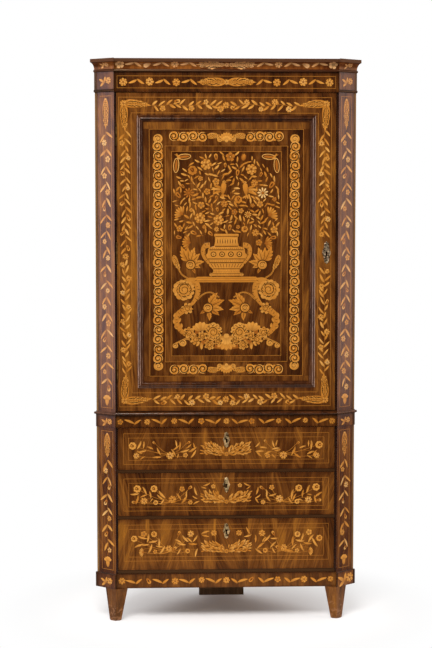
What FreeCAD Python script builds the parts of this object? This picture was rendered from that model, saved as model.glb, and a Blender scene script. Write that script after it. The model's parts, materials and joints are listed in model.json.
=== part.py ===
import FreeCAD
import Part
import math
import os

# A standing corner cabinet with canted front corners, one panelled door and three drawers.
# All sizes are in millimetres and angles in degrees. Plan sizes are measured from the front plane,
# with X to the right and Y towards the room corner, and the finished model is moved at the end so
# that its origin is the middle of its footprint on the floor.

# Plan of the case
OPENING_HALF = 399.0        # half the clear width between the jambs
QUIRK_WIDTH = 6.0           # dark channel between the jamb and the front arris of a stile
ARRIS_PROUD = 12.0          # how far a stile's front arris stands before the front plane
QUIRK_DEPTH = 6.0           # depth of the jamb behind the front plane
CANT_ANGLE = 40.0           # canted faces against the front plane
CANT_FACE = 91.4            # width of a canted face, with the edge of the back panel
WALL_ANGLE = 45.0           # back panels against the front plane
REAR_HALF = 95.0            # half the flat where the room corner is cut off
STILE_THICKNESS = 28.0
BACK_THICKNESS = 11.0
REAR_THICKNESS = 20.0
STOP_WIDTH = 8.0            # lip of the jamb behind the door and the drawer fronts
STOP_THICKNESS = 9.5
STOP_CLEARANCE = 0.5

# Heights, from the floor upwards
FOOT_HEIGHT = 122.0
PLINTH_HEIGHT = 54.0
BOTTOM_THICKNESS = 11.0
DRAWER_OPENINGS = [191.5, 162.0, 157.5]     # bottom, middle and top drawer
DUST_BOARD_THICKNESS = 9.0
WAIST_RAIL_HEIGHT = 44.0
FLOOR_THICKNESS = 14.0      # floor of the cupboard, behind the waist moulding
DOOR_OPENING = 1157.0
FRIEZE_HEIGHT = 72.0
CORNICE_HEIGHT = 47.0
LIP_HEIGHT = 10.0           # the cornice stands this much above the top board
TOP_THICKNESS = 18.0

# Rails and facings on the front
RAIL_THICKNESS = 22.0
FRIEZE_FACING = 3.0
NECK_HEIGHT = 10.0
NECK_PROJECTION = 6.0
WAIST_FACING = 3.0
PLINTH_FACING = 8.0
PLINTH_PROUD = 6.0
PLINTH_EASE = 2.0           # chamfer on the top edge of the plinth
CORNICE_PROJECTION = 23.0
CORNICE_FILLET = 12.0
CORNICE_BEAD = 9.0
WAIST_NOSE = 9.0
WAIST_PROJECTION = 12.7

# Feet
FOOT_INNER = 42.0           # reach of a front foot from the arris along the front
FOOT_OUTER = 39.0           # reach of a front foot from the arris along the canted side
FOOT_SETBACK = 1.5          # how far the foot stands behind the faces of the plinth
FOOT_TAPER = 0.525
FOOT_CENTRE_OUT = 7.5       # the taper closes on this line beyond the arris
FOOT_CENTRE_BACK = 10.0
FOOT_CHAMFER = 4.0
FOOT_TENON_RADIUS = 9.0
FOOT_TENON_LENGTH = 40.0
FOOT_TENON_ALONG = 38.0     # from the arris along the canted face
REAR_FOOT_WIDTH = 174.0
REAR_FOOT_THICKNESS = 25.0

# Shelves in the cupboard
SHELF_THICKNESS = 16.0
SHELF_HEIGHTS = [400.0, 810.0]      # undersides above the floor of the cupboard
SHELF_SETBACK = 40.0
BEARER_SIZE = 20.0
BEARER_END_GAP = 12.0

# Door
SIDE_GAP = 2.0
DOOR_GAP = 2.5
DOOR_THICKNESS = 24.0
DOOR_STILE_WIDTH = 74.0
DOOR_TOP_RAIL = 80.0
DOOR_BOTTOM_RAIL = 84.0
TENON_LENGTH = 36.0
TENON_THICKNESS = 8.0
TENON_SHOULDER = 14.0
PANEL_SETBACK = 7.0
PANEL_THICKNESS = 12.0
TONGUE_DEPTH = 8.0
TONGUE_THICKNESS = 6.0
PANEL_BEAD = 11.0           # width of the bead of the panel moulding
PANEL_BEAD_PROUD = 4.0
PANEL_FILLET = 2.0
PANEL_COVE = 10.0

# Butt hinges of the door
HINGE_LENGTH = 78.0
HINGE_LEAF = 2.0
HINGE_REACH = 22.0          # how far a leaf lies along the thickness of the door
HINGE_AXIS_FORWARD = 3.5
KNUCKLE_RADIUS = 3.2
KNUCKLE_GAP = 0.3
PIN_RADIUS = 1.5
PIN_CLEARANCE = 0.05
HINGE_END_DISTANCE = 150.0  # middle of the end hinges from the ends of the door
HINGE_COUNT = 3
SCREW_RADIUS = 1.6
SCREW_HEAD_RADIUS = 3.0
SCREW_LENGTH = 15.0
SCREW_PITCH = 25.0
SCREW_SETBACK = 13.0

# Locks and escutcheons
KEYHOLE_RADIUS = 2.7
KEYHOLE_SLOT = 3.0
KEYHOLE_DROP = 11.0         # length of the slot below the round of the keyhole
DOOR_KEY_INSET = 33.0       # keyhole from the edge of the door
DRAWER_KEY_DROP = 45.0      # keyhole from the top of the drawer front
LOCK_DEPTH = 11.0
LOCK_WALL = 1.5
LOCK_PLATE = 2.0            # plate on the edge of the wood, which the bolt passes
LOCK_PLATE_MARGIN = 6.0
KEY_POST_RADIUS = 1.6
BOLT_WIDTH = 18.0
BOLT_THICKNESS = 6.0
BOLT_LENGTH = 32.0
BOLT_CLEARANCE = 0.3
BOLT_OFFSET = 16.0          # middle of the door bolt above the keyhole
MORTISE_SPARE = 2.0
DOOR_BOLT_TRAVEL = 10.0
DRAWER_BOLT_TRAVEL = 6.5
DOOR_LOCK_LENGTH = 52.0
DOOR_LOCK_HEIGHT = 84.0
DRAWER_LOCK_WIDTH = 62.0
DRAWER_LOCK_HEIGHT = 60.0
ESCUTCHEON_THICKNESS = 1.6
DOOR_ESCUTCHEON = (15.0, 45.0)      # half the width and half the height
DRAWER_ESCUTCHEON = (12.0, 32.0)

# Drawers
DRAWER_GAP = 1.5            # above and below a drawer front
FRONT_THICKNESS = 22.0
SIDE_THICKNESS = 11.0
SIDE_INSET = 11.0           # side of the box from the end of the drawer front
SIDE_RUN_GAP = 0.3          # sides above the board that they run on
SIDE_DROP = 12.0            # top of the sides below the top of the front
DRAWER_REAR_GAP = 21.0      # back of the drawer before the rear board
DRAWER_WALL_GAP = 11.0      # rear corner of the drawer from the back panel
TRAY_HEIGHT = 12.0          # drawer bottom above the board below
TRAY_THICKNESS = 7.0
GROOVE_DEPTH = 5.0
RUNNER_WIDTH = 30.0
RUNNER_HEIGHT = 8.0
RUNNER_CLEARANCE = 0.4
RUNNER_END_GAP = 6.0
GUIDE_CHEEK = 11.0
GUIDE_LIFT = 1.0            # cheeks of the guide above the board below

# Levels that follow from the heights
PLINTH_TOP = FOOT_HEIGHT + PLINTH_HEIGHT
BOTTOM_TOP = PLINTH_TOP + BOTTOM_THICKNESS
DRAWER_FLOORS = [BOTTOM_TOP]
for opening in DRAWER_OPENINGS[:-1]:
    DRAWER_FLOORS.append(DRAWER_FLOORS[-1] + opening + DUST_BOARD_THICKNESS)
WAIST_BOTTOM = DRAWER_FLOORS[-1] + DRAWER_OPENINGS[-1]
WAIST_TOP = WAIST_BOTTOM + WAIST_RAIL_HEIGHT
CUPBOARD_BOTTOM = WAIST_TOP + FLOOR_THICKNESS
CUPBOARD_TOP = CUPBOARD_BOTTOM + DOOR_OPENING
CORNICE_BOTTOM = CUPBOARD_TOP + FRIEZE_HEIGHT
CASE_TOP = CORNICE_BOTTOM + CORNICE_HEIGHT - LIP_HEIGHT
TOTAL_HEIGHT = CORNICE_BOTTOM + CORNICE_HEIGHT

# Plan points that follow from the plan sizes, on the right-hand side
COS_CANT = math.cos(math.radians(CANT_ANGLE))
SIN_CANT = math.sin(math.radians(CANT_ANGLE))
COS_WALL = math.cos(math.radians(WALL_ANGLE))
SIN_WALL = math.sin(math.radians(WALL_ANGLE))
CANT_SQUARENESS = COS_CANT * SIN_WALL + SIN_CANT * COS_WALL
ARRIS_X = OPENING_HALF + QUIRK_WIDTH
OUTER_X = ARRIS_X + CANT_FACE * COS_CANT
OUTER_Y = CANT_FACE * SIN_CANT - ARRIS_PROUD
REAR_Y = OUTER_Y + (OUTER_X - REAR_HALF) * SIN_WALL / COS_WALL
REAR_INNER_Y = REAR_Y - REAR_THICKNESS
EDGE_RUN = BACK_THICKNESS / CANT_SQUARENESS
EDGE_X = OUTER_X - EDGE_RUN * COS_CANT
EDGE_Y = OUTER_Y - EDGE_RUN * SIN_CANT
STILE_RUN = STILE_THICKNESS / CANT_SQUARENESS
HEEL_X = EDGE_X - STILE_RUN * COS_WALL
HEEL_Y = EDGE_Y + STILE_RUN * SIN_WALL
STOP_Y = DOOR_THICKNESS + STOP_CLEARANCE
JAMB_Y = STOP_Y + STOP_THICKNESS
STOP_X = OPENING_HALF - STOP_WIDTH
DOOR_HALF = OPENING_HALF - SIDE_GAP
FRONT_REACH = ARRIS_PROUD + CORNICE_PROJECTION / COS_CANT
MIDDLE_Y = (REAR_Y - FRONT_REACH) / 2

CUTTER_SIZE = 4 * TOTAL_HEIGHT


def vec(x, y, z=0.0):
    return FreeCAD.Vector(x, y, z)


def box(x0, x1, y0, y1, z0, z1):
    return Part.makeBox(x1 - x0, y1 - y0, z1 - z0, vec(x0, y0, z0))


def prism(points, z0, z1):
    """An upright solid on a plan outline."""
    corners = [vec(x, y, z0) for x, y in points]
    face = Part.Face(Part.makePolygon(corners + corners[:1]))
    return face.extrude(vec(0, 0, z1 - z0))


def both_sides(points):
    """A plan outline that is the same on both sides, from its right half, front to back."""
    return points + [(-x, y) for x, y in reversed(points)]


def sided(side, points):
    """A right-hand plan outline, or its mirror image where side is -1."""
    return [(side * x, y) for x, y in points]


def group(solids):
    return Part.makeCompound(solids)


def cut_beyond(shape, point, normal):
    """The shape without what lies past a plane, on the side that the normal points to."""
    block = Part.makeBox(CUTTER_SIZE, CUTTER_SIZE, CUTTER_SIZE)
    centred = FreeCAD.Placement(vec(-CUTTER_SIZE / 2, -CUTTER_SIZE / 2), FreeCAD.Rotation())
    turned = FreeCAD.Placement(point, FreeCAD.Rotation(vec(0, 0, 1), normal))
    block.Placement = turned.multiply(centred)
    return shape.cut(block)


def section(place, start, steps):
    """A face from an outline of points. A step is a point, or (middle, end) for an arc."""
    edges = []
    here = start
    for step in list(steps) + [start]:
        if isinstance(step[0], tuple):
            middle, there = step
            edges.append(Part.Arc(place(*here), place(*middle), place(*there)).toShape())
        else:
            there = step
            edges.append(Part.LineSegment(place(*here), place(*there)).toShape())
        here = there
    return Part.Face(Part.Wire(edges))


def inner_x(y):
    """Where the inner face of a stile stands at a depth behind the front."""
    return HEEL_X - (HEEL_Y - y) * COS_CANT / SIN_CANT


def board_outline(front_y):
    """A board that fills the case from a depth to the rear board, notched round the jambs."""
    points = [(inner_x(front_y), front_y)]
    if front_y < JAMB_Y:
        points = [(STOP_X, STOP_Y), (STOP_X, JAMB_Y), (inner_x(JAMB_Y), JAMB_Y)]
    if front_y < STOP_Y:
        points = [(OPENING_HALF, front_y), (OPENING_HALF, STOP_Y)] + points
    rear_corner = HEEL_X - (REAR_INNER_Y - HEEL_Y) * COS_WALL / SIN_WALL
    return both_sides(points + [(HEEL_X, HEEL_Y), (rear_corner, REAR_INNER_Y)])


def keyhole(x, z, y0, y1):
    """The space of a keyhole, from front to back: a round with a narrower slot below."""
    round_part = Part.makeCylinder(KEYHOLE_RADIUS, y1 - y0, vec(x, y0, z), vec(0, 1, 0))
    half = KEYHOLE_SLOT / 2
    return round_part.fuse(box(x - half, x + half, y0, y1, z - KEYHOLE_DROP, z)).removeSplitter()


# Case: stiles, back, boards and shelves

def stile(side):
    """A canted corner post with its jamb, quirk and stop, from the plinth's foot to the top."""
    outline = [
        (ARRIS_X, -ARRIS_PROUD),
        (EDGE_X, EDGE_Y),
        (HEEL_X, HEEL_Y),
        (inner_x(JAMB_Y), JAMB_Y),
        (STOP_X, JAMB_Y),
        (STOP_X, STOP_Y),
        (OPENING_HALF, STOP_Y),
        (OPENING_HALF, QUIRK_DEPTH),
        (ARRIS_X, QUIRK_DEPTH),
    ]
    return prism(sided(side, outline), FOOT_HEIGHT, CASE_TOP)


def back_panel(side):
    run = REAR_THICKNESS * COS_WALL / SIN_WALL
    rear_outer = REAR_HALF + run
    outline = [
        (OUTER_X, OUTER_Y),
        (rear_outer, REAR_INNER_Y),
        (rear_outer - BACK_THICKNESS / SIN_WALL, REAR_INNER_Y),
        (EDGE_X, EDGE_Y),
    ]
    return prism(sided(side, outline), FOOT_HEIGHT, CASE_TOP)


def rear_board():
    run = REAR_THICKNESS * COS_WALL / SIN_WALL
    outline = both_sides([(REAR_HALF + run, REAR_INNER_Y), (REAR_HALF, REAR_Y)])
    return prism(outline, FOOT_HEIGHT, CASE_TOP)


def case_board(bottom, thickness, front_y):
    return prism(board_outline(front_y), bottom, bottom + thickness)


def shelf_bearers():
    """Cleats along both back panels, under each shelf."""
    cleats = []
    along = (-COS_WALL, SIN_WALL)
    inward = (-SIN_WALL, -COS_WALL)
    start = (HEEL_X + along[0] * BEARER_END_GAP, HEEL_Y + along[1] * BEARER_END_GAP)
    length = (REAR_INNER_Y - HEEL_Y) / SIN_WALL - 2 * BEARER_END_GAP - BEARER_SIZE
    end = (start[0] + along[0] * length, start[1] + along[1] * length)
    depth = (inward[0] * BEARER_SIZE, inward[1] * BEARER_SIZE)
    outline = [start, end, (end[0] + depth[0], end[1] + depth[1]), (start[0] + depth[0], start[1] + depth[1])]
    for height in SHELF_HEIGHTS:
        top = CUPBOARD_BOTTOM + height
        for side in (-1, 1):
            cleats.append(prism(sided(side, outline), top - BEARER_SIZE, top))
    return cleats


# Front: rails, facings and mouldings

def front_rail(bottom, top):
    """A rail across the front that also fills the quirk beside each jamb."""
    facing = box(-ARRIS_X, ARRIS_X, 0, QUIRK_DEPTH, bottom, top)
    body = box(-OPENING_HALF, OPENING_HALF, QUIRK_DEPTH, RAIL_THICKNESS, bottom, top)
    return facing.fuse(body).removeSplitter()


def along_front(start, steps, level):
    """A moulding across the front. Its outline gives the projection and the height of each point."""
    face = section(lambda d, h: vec(-ARRIS_X, -d, level + h), start, steps)
    return face.extrude(vec(2 * ARRIS_X, 0, 0))


def along_cant(side, start, steps, level):
    """The same on a canted face, from the arris plane to the plane of the back panel."""
    outward = vec(side * SIN_CANT, -COS_CANT)
    forward = vec(side * COS_CANT, SIN_CANT)
    overrun = CANT_FACE
    base = vec(side * ARRIS_X, -ARRIS_PROUD) - forward * overrun
    face = section(lambda d, h: base + outward * d + vec(0, 0, level + h), start, steps)
    bar = face.extrude(forward * (CANT_FACE + 2 * overrun))
    bar = cut_beyond(bar, vec(side * ARRIS_X, 0), vec(-side, 0))
    return cut_beyond(bar, vec(side * OUTER_X, OUTER_Y), vec(side * SIN_WALL, COS_WALL))


def cornice_outline():
    """A bead, a hollow and a square fillet, from the frieze up."""
    step = CORNICE_BEAD / 3
    hollow_bottom = CORNICE_BEAD + step / 2
    hollow_top = CORNICE_HEIGHT - CORNICE_FILLET
    lip = CORNICE_PROJECTION - step / 2
    hollow_height = hollow_top - hollow_bottom
    middle = (step + 0.27 * (lip - step), hollow_bottom + 0.62 * hollow_height)
    return (0, 0), [
        (step, 0),
        ((step + CORNICE_BEAD / 2, CORNICE_BEAD / 2), (step, CORNICE_BEAD)),
        (step, hollow_bottom),
        (middle, (lip, hollow_top)),
        (CORNICE_PROJECTION, hollow_top),
        (CORNICE_PROJECTION, CORNICE_HEIGHT),
        (0, CORNICE_HEIGHT),
    ]


def waist_outline():
    """A half-round nose between two fillets."""
    fillet = (FLOOR_THICKNESS - WAIST_NOSE) / 2
    straight = WAIST_PROJECTION - WAIST_NOSE / 2
    return (0, 0), [
        (straight / 2, 0),
        (straight / 2, fillet),
        (straight, fillet),
        ((WAIST_PROJECTION, FLOOR_THICKNESS / 2), (straight, FLOOR_THICKNESS - fillet)),
        (straight / 3, FLOOR_THICKNESS - fillet),
        (straight / 3, FLOOR_THICKNESS),
        (0, FLOOR_THICKNESS),
    ]


def frieze_return_outline():
    """A flat facing with the bead of the necking along its foot."""
    height = FRIEZE_HEIGHT
    return (0, 0), [
        (FRIEZE_FACING, 0),
        ((NECK_PROJECTION, NECK_HEIGHT / 2), (FRIEZE_FACING, NECK_HEIGHT)),
        (FRIEZE_FACING, height),
        (0, height),
    ]


def facing_outline(thickness, height, ease=0.0):
    """A flat facing, whose top edge may be eased."""
    points = [(thickness, 0), (thickness, height - ease), (thickness - ease, height), (0, height)]
    return (0, 0), points if ease else [(thickness, 0), (thickness, height), (0, height)]


def plinth():
    """The plinth board with its eased edge, and its two canted returns."""
    front = front_rail(FOOT_HEIGHT, PLINTH_TOP)
    front_start, front_steps = facing_outline(PLINTH_PROUD, PLINTH_HEIGHT, PLINTH_EASE)
    front = front.fuse(along_front(front_start, front_steps, FOOT_HEIGHT)).removeSplitter()
    start, steps = facing_outline(PLINTH_FACING, PLINTH_HEIGHT, PLINTH_EASE)
    return [front] + [along_cant(side, start, steps, FOOT_HEIGHT) for side in (-1, 1)]


# Feet

def front_foot(side):
    """A tapered foot that follows the corner of the plinth, and its round tenon."""
    arris_y = -ARRIS_PROUD - (PLINTH_FACING - FOOT_SETBACK) / COS_CANT
    outer_y = arris_y + FOOT_OUTER * SIN_CANT / COS_CANT
    inner_y = FOOT_SETBACK - PLINTH_PROUD
    top = [
        (-FOOT_INNER, inner_y),
        (0.0, arris_y),
        (FOOT_OUTER, outer_y),
        (FOOT_OUTER - FOOT_INNER, outer_y + inner_y - arris_y),
    ]

    def ring(scale, z):
        points = []
        for x, y in top:
            shrunk_x = FOOT_CENTRE_OUT + (x - FOOT_CENTRE_OUT) * scale
            shrunk_y = FOOT_CENTRE_BACK + (y - FOOT_CENTRE_BACK) * scale
            points.append(vec(side * (ARRIS_X + shrunk_x), shrunk_y, z))
        return Part.makePolygon(points + points[:1])

    tread = FOOT_TAPER * (1 - 2 * FOOT_CHAMFER / (FOOT_TAPER * (FOOT_INNER + FOOT_OUTER)))
    shaft = Part.makeLoft([ring(1.0, FOOT_HEIGHT), ring(FOOT_TAPER, FOOT_CHAMFER)], True, True)
    toe = Part.makeLoft([ring(FOOT_TAPER, FOOT_CHAMFER), ring(tread, 0)], True, True)
    return shaft.fuse(toe).fuse(foot_tenon(side)).removeSplitter()


def foot_tenon(side):
    """The round tenon of a front foot, in the middle of the stile's thickness."""
    x = ARRIS_X + FOOT_TENON_ALONG * COS_CANT - STILE_THICKNESS / 2 * SIN_CANT
    y = FOOT_TENON_ALONG * SIN_CANT - ARRIS_PROUD + STILE_THICKNESS / 2 * COS_CANT
    foot = vec(side * x, y, FOOT_HEIGHT)
    return Part.makeCylinder(FOOT_TENON_RADIUS, FOOT_TENON_LENGTH, foot)


def rear_foot():
    half = REAR_FOOT_WIDTH / 2
    front = REAR_INNER_Y - REAR_FOOT_THICKNESS
    return box(-half, half, front, REAR_INNER_Y, 0, PLINTH_TOP)


# Door

DOOR_BOTTOM = CUPBOARD_BOTTOM + DOOR_GAP
DOOR_TOP = CUPBOARD_TOP - DOOR_GAP
SIGHT_X = DOOR_HALF - DOOR_STILE_WIDTH
SIGHT_BOTTOM = DOOR_BOTTOM + DOOR_BOTTOM_RAIL
SIGHT_TOP = DOOR_TOP - DOOR_TOP_RAIL
TENON_FRONT = DOOR_THICKNESS - TENON_THICKNESS - LOCK_WALL
TONGUE_FRONT = PANEL_SETBACK + (PANEL_THICKNESS - TONGUE_THICKNESS) / 2
DOOR_KEY_X = DOOR_HALF - DOOR_KEY_INSET
DOOR_KEY_Z = (DOOR_BOTTOM + DOOR_TOP) / 2


def door_panel():
    body_back = PANEL_SETBACK + PANEL_THICKNESS
    body = box(-SIGHT_X, SIGHT_X, PANEL_SETBACK, body_back, SIGHT_BOTTOM, SIGHT_TOP)
    reach = SIGHT_X + TONGUE_DEPTH
    bottom = SIGHT_BOTTOM - TONGUE_DEPTH
    top = SIGHT_TOP + TONGUE_DEPTH
    tongue = box(-reach, reach, TONGUE_FRONT, TONGUE_FRONT + TONGUE_THICKNESS, bottom, top)
    return body.fuse(tongue).removeSplitter()


def door_rail(bottom, top):
    """A rail of the door with a tenon at each end."""
    body = box(-SIGHT_X, SIGHT_X, 0, DOOR_THICKNESS, bottom, top)
    reach = SIGHT_X + TENON_LENGTH
    back = TENON_FRONT + TENON_THICKNESS
    low = bottom + TENON_SHOULDER
    tenons = box(-reach, reach, TENON_FRONT, back, low, top - TENON_SHOULDER)
    return body.fuse(tenons).removeSplitter()


def door_stile(side):
    x0, x1 = sorted((side * SIGHT_X, side * DOOR_HALF))
    return box(x0, x1, 0, DOOR_THICKNESS, DOOR_BOTTOM, DOOR_TOP)


def panel_moulding(turns, length, across):
    """One mitred length: a bead that stands before the frame, a fillet and a cove on the panel."""
    face_y = PANEL_SETBACK
    bead_end = PANEL_BEAD
    cove_start = PANEL_BEAD + PANEL_FILLET
    width = cove_start + PANEL_COVE
    edge_y = face_y - 1.5
    steps = [
        (0, 0),
        ((bead_end / 2, -PANEL_BEAD_PROUD), (bead_end, 0)),
        (bead_end, face_y / 4),
        (cove_start, face_y / 4),
        ((cove_start + 0.3 * PANEL_COVE, face_y / 4 + 0.7 * (edge_y - face_y / 4)), (width, edge_y)),
        (width, face_y),
    ]
    half = length / 2
    face = section(lambda w, y: vec(-half, y, -across + w), (0, face_y), steps)
    bar = face.extrude(vec(length, 0, 0))
    for end in (-1, 1):
        bar = cut_beyond(bar, vec(end * half, 0, -across), vec(end, 0, 1))
    bar.rotate(vec(0, 0), vec(0, 1, 0), 90 * turns)
    return bar.translated(vec(0, 0, (SIGHT_BOTTOM + SIGHT_TOP) / 2))


def panel_mouldings():
    width = 2 * SIGHT_X
    height = SIGHT_TOP - SIGHT_BOTTOM
    lengths = []
    for turns in range(4):
        length, across = (width, height / 2) if turns % 2 == 0 else (height, width / 2)
        lengths.append(panel_moulding(turns, length, across))
    return lengths


# Hinges

HINGE_X = -(OPENING_HALF + DOOR_HALF) / 2
HINGE_Y = -HINGE_AXIS_FORWARD


def hinge_levels():
    first = DOOR_BOTTOM + HINGE_END_DISTANCE
    last = DOOR_TOP - HINGE_END_DISTANCE
    step = (last - first) / (HINGE_COUNT - 1)
    return [first + step * i for i in range(HINGE_COUNT)]


def barrel(radius, z0, z1):
    return Part.makeCylinder(radius, z1 - z0, vec(HINGE_X, HINGE_Y, z0))


def case_leaf(level):
    """A leaf let into the jamb, with the two end knuckles and the fixed pin."""
    half = HINGE_LENGTH / 2
    third = HINGE_LENGTH / 6
    face = -OPENING_HALF
    leaf = box(face - HINGE_LEAF, face, HINGE_Y, HINGE_REACH, level - half, level + half)
    room = barrel(KNUCKLE_RADIUS + KNUCKLE_GAP, level - third - KNUCKLE_GAP, level + third + KNUCKLE_GAP)
    leaf = leaf.cut(room)
    for z0, z1 in ((level - half, level - third - KNUCKLE_GAP), (level + third + KNUCKLE_GAP, level + half)):
        leaf = leaf.fuse(barrel(KNUCKLE_RADIUS, z0, z1))
    return leaf.fuse(barrel(PIN_RADIUS, level - half, level + half)).removeSplitter()


def door_leaf(level):
    """A leaf let into the edge of the door, with the middle knuckle."""
    half = HINGE_LENGTH / 2
    third = HINGE_LENGTH / 6
    face = -DOOR_HALF
    leaf = box(face, face + HINGE_LEAF, HINGE_Y, HINGE_REACH, level - half, level + half)
    for z0, z1 in ((level - half, level - third), (level + third, level + half)):
        leaf = leaf.cut(barrel(KNUCKLE_RADIUS + KNUCKLE_GAP, z0, z1))
    leaf = leaf.fuse(barrel(KNUCKLE_RADIUS, level - third, level + third))
    bore = barrel(PIN_RADIUS + PIN_CLEARANCE, level - half, level + half)
    return leaf.cut(bore).removeSplitter()


def hinge_screws(face_x, way):
    """Countersunk screws through the leaves. way is the direction into the wood along X."""
    screws = []
    for level in hinge_levels():
        for i in (-1, 0, 1):
            start = vec(face_x, SCREW_SETBACK, level + i * SCREW_PITCH)
            into = vec(way, 0)
            head = Part.makeCone(SCREW_HEAD_RADIUS, SCREW_RADIUS, HINGE_LEAF, start, into)
            shank_start = start + into * HINGE_LEAF
            shank = Part.makeCylinder(SCREW_RADIUS, SCREW_LENGTH - HINGE_LEAF, shank_start, into)
            screws.append(head.fuse(shank).removeSplitter())
    return screws


# Locks and escutcheons

def door_lock_outer():
    """The lock case as a solid block, with the plate on the edge of the door."""
    back = DOOR_THICKNESS
    front = back - LOCK_DEPTH
    half = DOOR_LOCK_HEIGHT / 2
    inner = DOOR_HALF - DOOR_LOCK_LENGTH
    case = box(inner, DOOR_HALF, front, back, DOOR_KEY_Z - half, DOOR_KEY_Z + half)
    reach = half + LOCK_PLATE_MARGIN
    plate = box(DOOR_HALF - LOCK_PLATE, DOOR_HALF, front, back, DOOR_KEY_Z - reach, DOOR_KEY_Z + reach)
    return case.fuse(plate).removeSplitter()


def door_bolt(grow=0.0, extend=0.0):
    """The bolt drawn back into its lock, or the room that it needs."""
    middle_y = DOOR_THICKNESS - LOCK_DEPTH / 2
    middle_z = DOOR_KEY_Z + BOLT_OFFSET
    half_y = BOLT_THICKNESS / 2 + grow
    half_z = BOLT_WIDTH / 2 + grow
    end = DOOR_HALF - BOLT_CLEARANCE
    x0 = end - BOLT_LENGTH - grow
    x1 = end + extend
    return box(x0, x1, middle_y - half_y, middle_y + half_y, middle_z - half_z, middle_z + half_z)


def door_lock():
    """A hollow case with a key post, a keyhole and a slot for the bolt."""
    back = DOOR_THICKNESS - LOCK_WALL
    front = DOOR_THICKNESS - LOCK_DEPTH + LOCK_WALL
    half = DOOR_LOCK_HEIGHT / 2 - LOCK_WALL
    inner = DOOR_HALF - DOOR_LOCK_LENGTH + LOCK_WALL
    hollow = box(inner, DOOR_HALF - LOCK_PLATE, front, back, DOOR_KEY_Z - half, DOOR_KEY_Z + half)
    case = door_lock_outer().cut(hollow).cut(door_bolt(BOLT_CLEARANCE, DOOR_BOLT_TRAVEL))
    case = case.cut(keyhole(DOOR_KEY_X, DOOR_KEY_Z, front - LOCK_WALL, front))
    post = Part.makeCylinder(KEY_POST_RADIUS, LOCK_WALL + back - front, vec(DOOR_KEY_X, front, DOOR_KEY_Z), vec(0, 1, 0))
    return case.fuse(post).removeSplitter()


def drawer_lock_outer(top):
    back = FRONT_THICKNESS
    front = back - LOCK_DEPTH
    half = DRAWER_LOCK_WIDTH / 2
    case = box(-half, half, front, back, top - DRAWER_LOCK_HEIGHT, top)
    reach = half + LOCK_PLATE_MARGIN
    plate = box(-reach, reach, front, back, top - LOCK_PLATE, top)
    return case.fuse(plate).removeSplitter()


def drawer_bolt(top, grow=0.0, extend=0.0):
    middle_y = FRONT_THICKNESS - LOCK_DEPTH / 2
    half_x = BOLT_WIDTH / 2 + grow
    half_y = BOLT_THICKNESS / 2 + grow
    end = top - BOLT_CLEARANCE
    return box(-half_x, half_x, middle_y - half_y, middle_y + half_y, end - BOLT_LENGTH - grow, end + extend)


def drawer_lock(top):
    back = FRONT_THICKNESS - LOCK_WALL
    front = FRONT_THICKNESS - LOCK_DEPTH + LOCK_WALL
    half = DRAWER_LOCK_WIDTH / 2 - LOCK_WALL
    bottom = top - DRAWER_LOCK_HEIGHT + LOCK_WALL
    hollow = box(-half, half, front, back, bottom, top - LOCK_PLATE)
    key_z = top - DRAWER_KEY_DROP
    case = drawer_lock_outer(top).cut(hollow).cut(drawer_bolt(top, BOLT_CLEARANCE, DRAWER_BOLT_TRAVEL))
    case = case.cut(keyhole(0, key_z, front - LOCK_WALL, front))
    post = Part.makeCylinder(KEY_POST_RADIUS, LOCK_WALL + back - front, vec(0, front, key_z), vec(0, 1, 0))
    return case.fuse(post).removeSplitter()


def bolt_mortises():
    """The pockets above the drawers that take their bolts, grown by the clearance all round."""
    pockets = []
    spare = DRAWER_BOLT_TRAVEL + MORTISE_SPARE - DRAWER_GAP
    for floor, opening in zip(DRAWER_FLOORS, DRAWER_OPENINGS):
        pocket = drawer_bolt(floor + opening - DRAWER_GAP, BOLT_CLEARANCE, spare)
        pockets.append(pocket)
    return pockets


def escutcheon(x, z, size):
    """A waisted plate with a pointed head and foot, pierced by the keyhole."""
    half_width, half_height = size
    waist = 0.55 * half_width
    shoulder = 0.42 * half_height

    def place(across, up):
        return vec(x + across, -ESCUTCHEON_THICKNESS, z + up)

    right = [
        ((waist, -0.72 * half_height), (0.6 * half_width, -shoulder)),
        ((half_width, 0), (0.6 * half_width, shoulder)),
        ((waist, 0.72 * half_height), (0, half_height)),
    ]
    left = [
        ((-waist, 0.72 * half_height), (-0.6 * half_width, shoulder)),
        ((-half_width, 0), (-0.6 * half_width, -shoulder)),
        ((-waist, -0.72 * half_height), (0, -half_height)),
    ]
    edges = []
    here = (0, -half_height)
    for middle, there in right + left:
        edges.append(Part.Arc(place(*here), place(*middle), place(*there)).toShape())
        here = there
    plate = Part.Face(Part.Wire(edges)).extrude(vec(0, ESCUTCHEON_THICKNESS, 0))
    return plate.cut(keyhole(x, z, -ESCUTCHEON_THICKNESS, 0))


# Drawers

BOX_FRONT = DOOR_HALF - SIDE_INSET
BOX_REAR_Y = REAR_INNER_Y - DRAWER_REAR_GAP
REAR_CORNER_X = HEEL_X - (BOX_REAR_Y - HEEL_Y) * COS_WALL / SIN_WALL
BOX_REAR = REAR_CORNER_X - DRAWER_WALL_GAP / SIN_WALL
BOX_LENGTH = BOX_REAR_Y - FRONT_THICKNESS
SIDE_SLOPE = (BOX_FRONT - BOX_REAR) / BOX_LENGTH
SIDE_STRETCH = math.hypot(1, SIDE_SLOPE)


def side_x(y, inset):
    """A line inside the drawer's side at a depth, a distance in from the outer face."""
    return BOX_FRONT - (y - FRONT_THICKNESS) * SIDE_SLOPE - inset * SIDE_STRETCH


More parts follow.
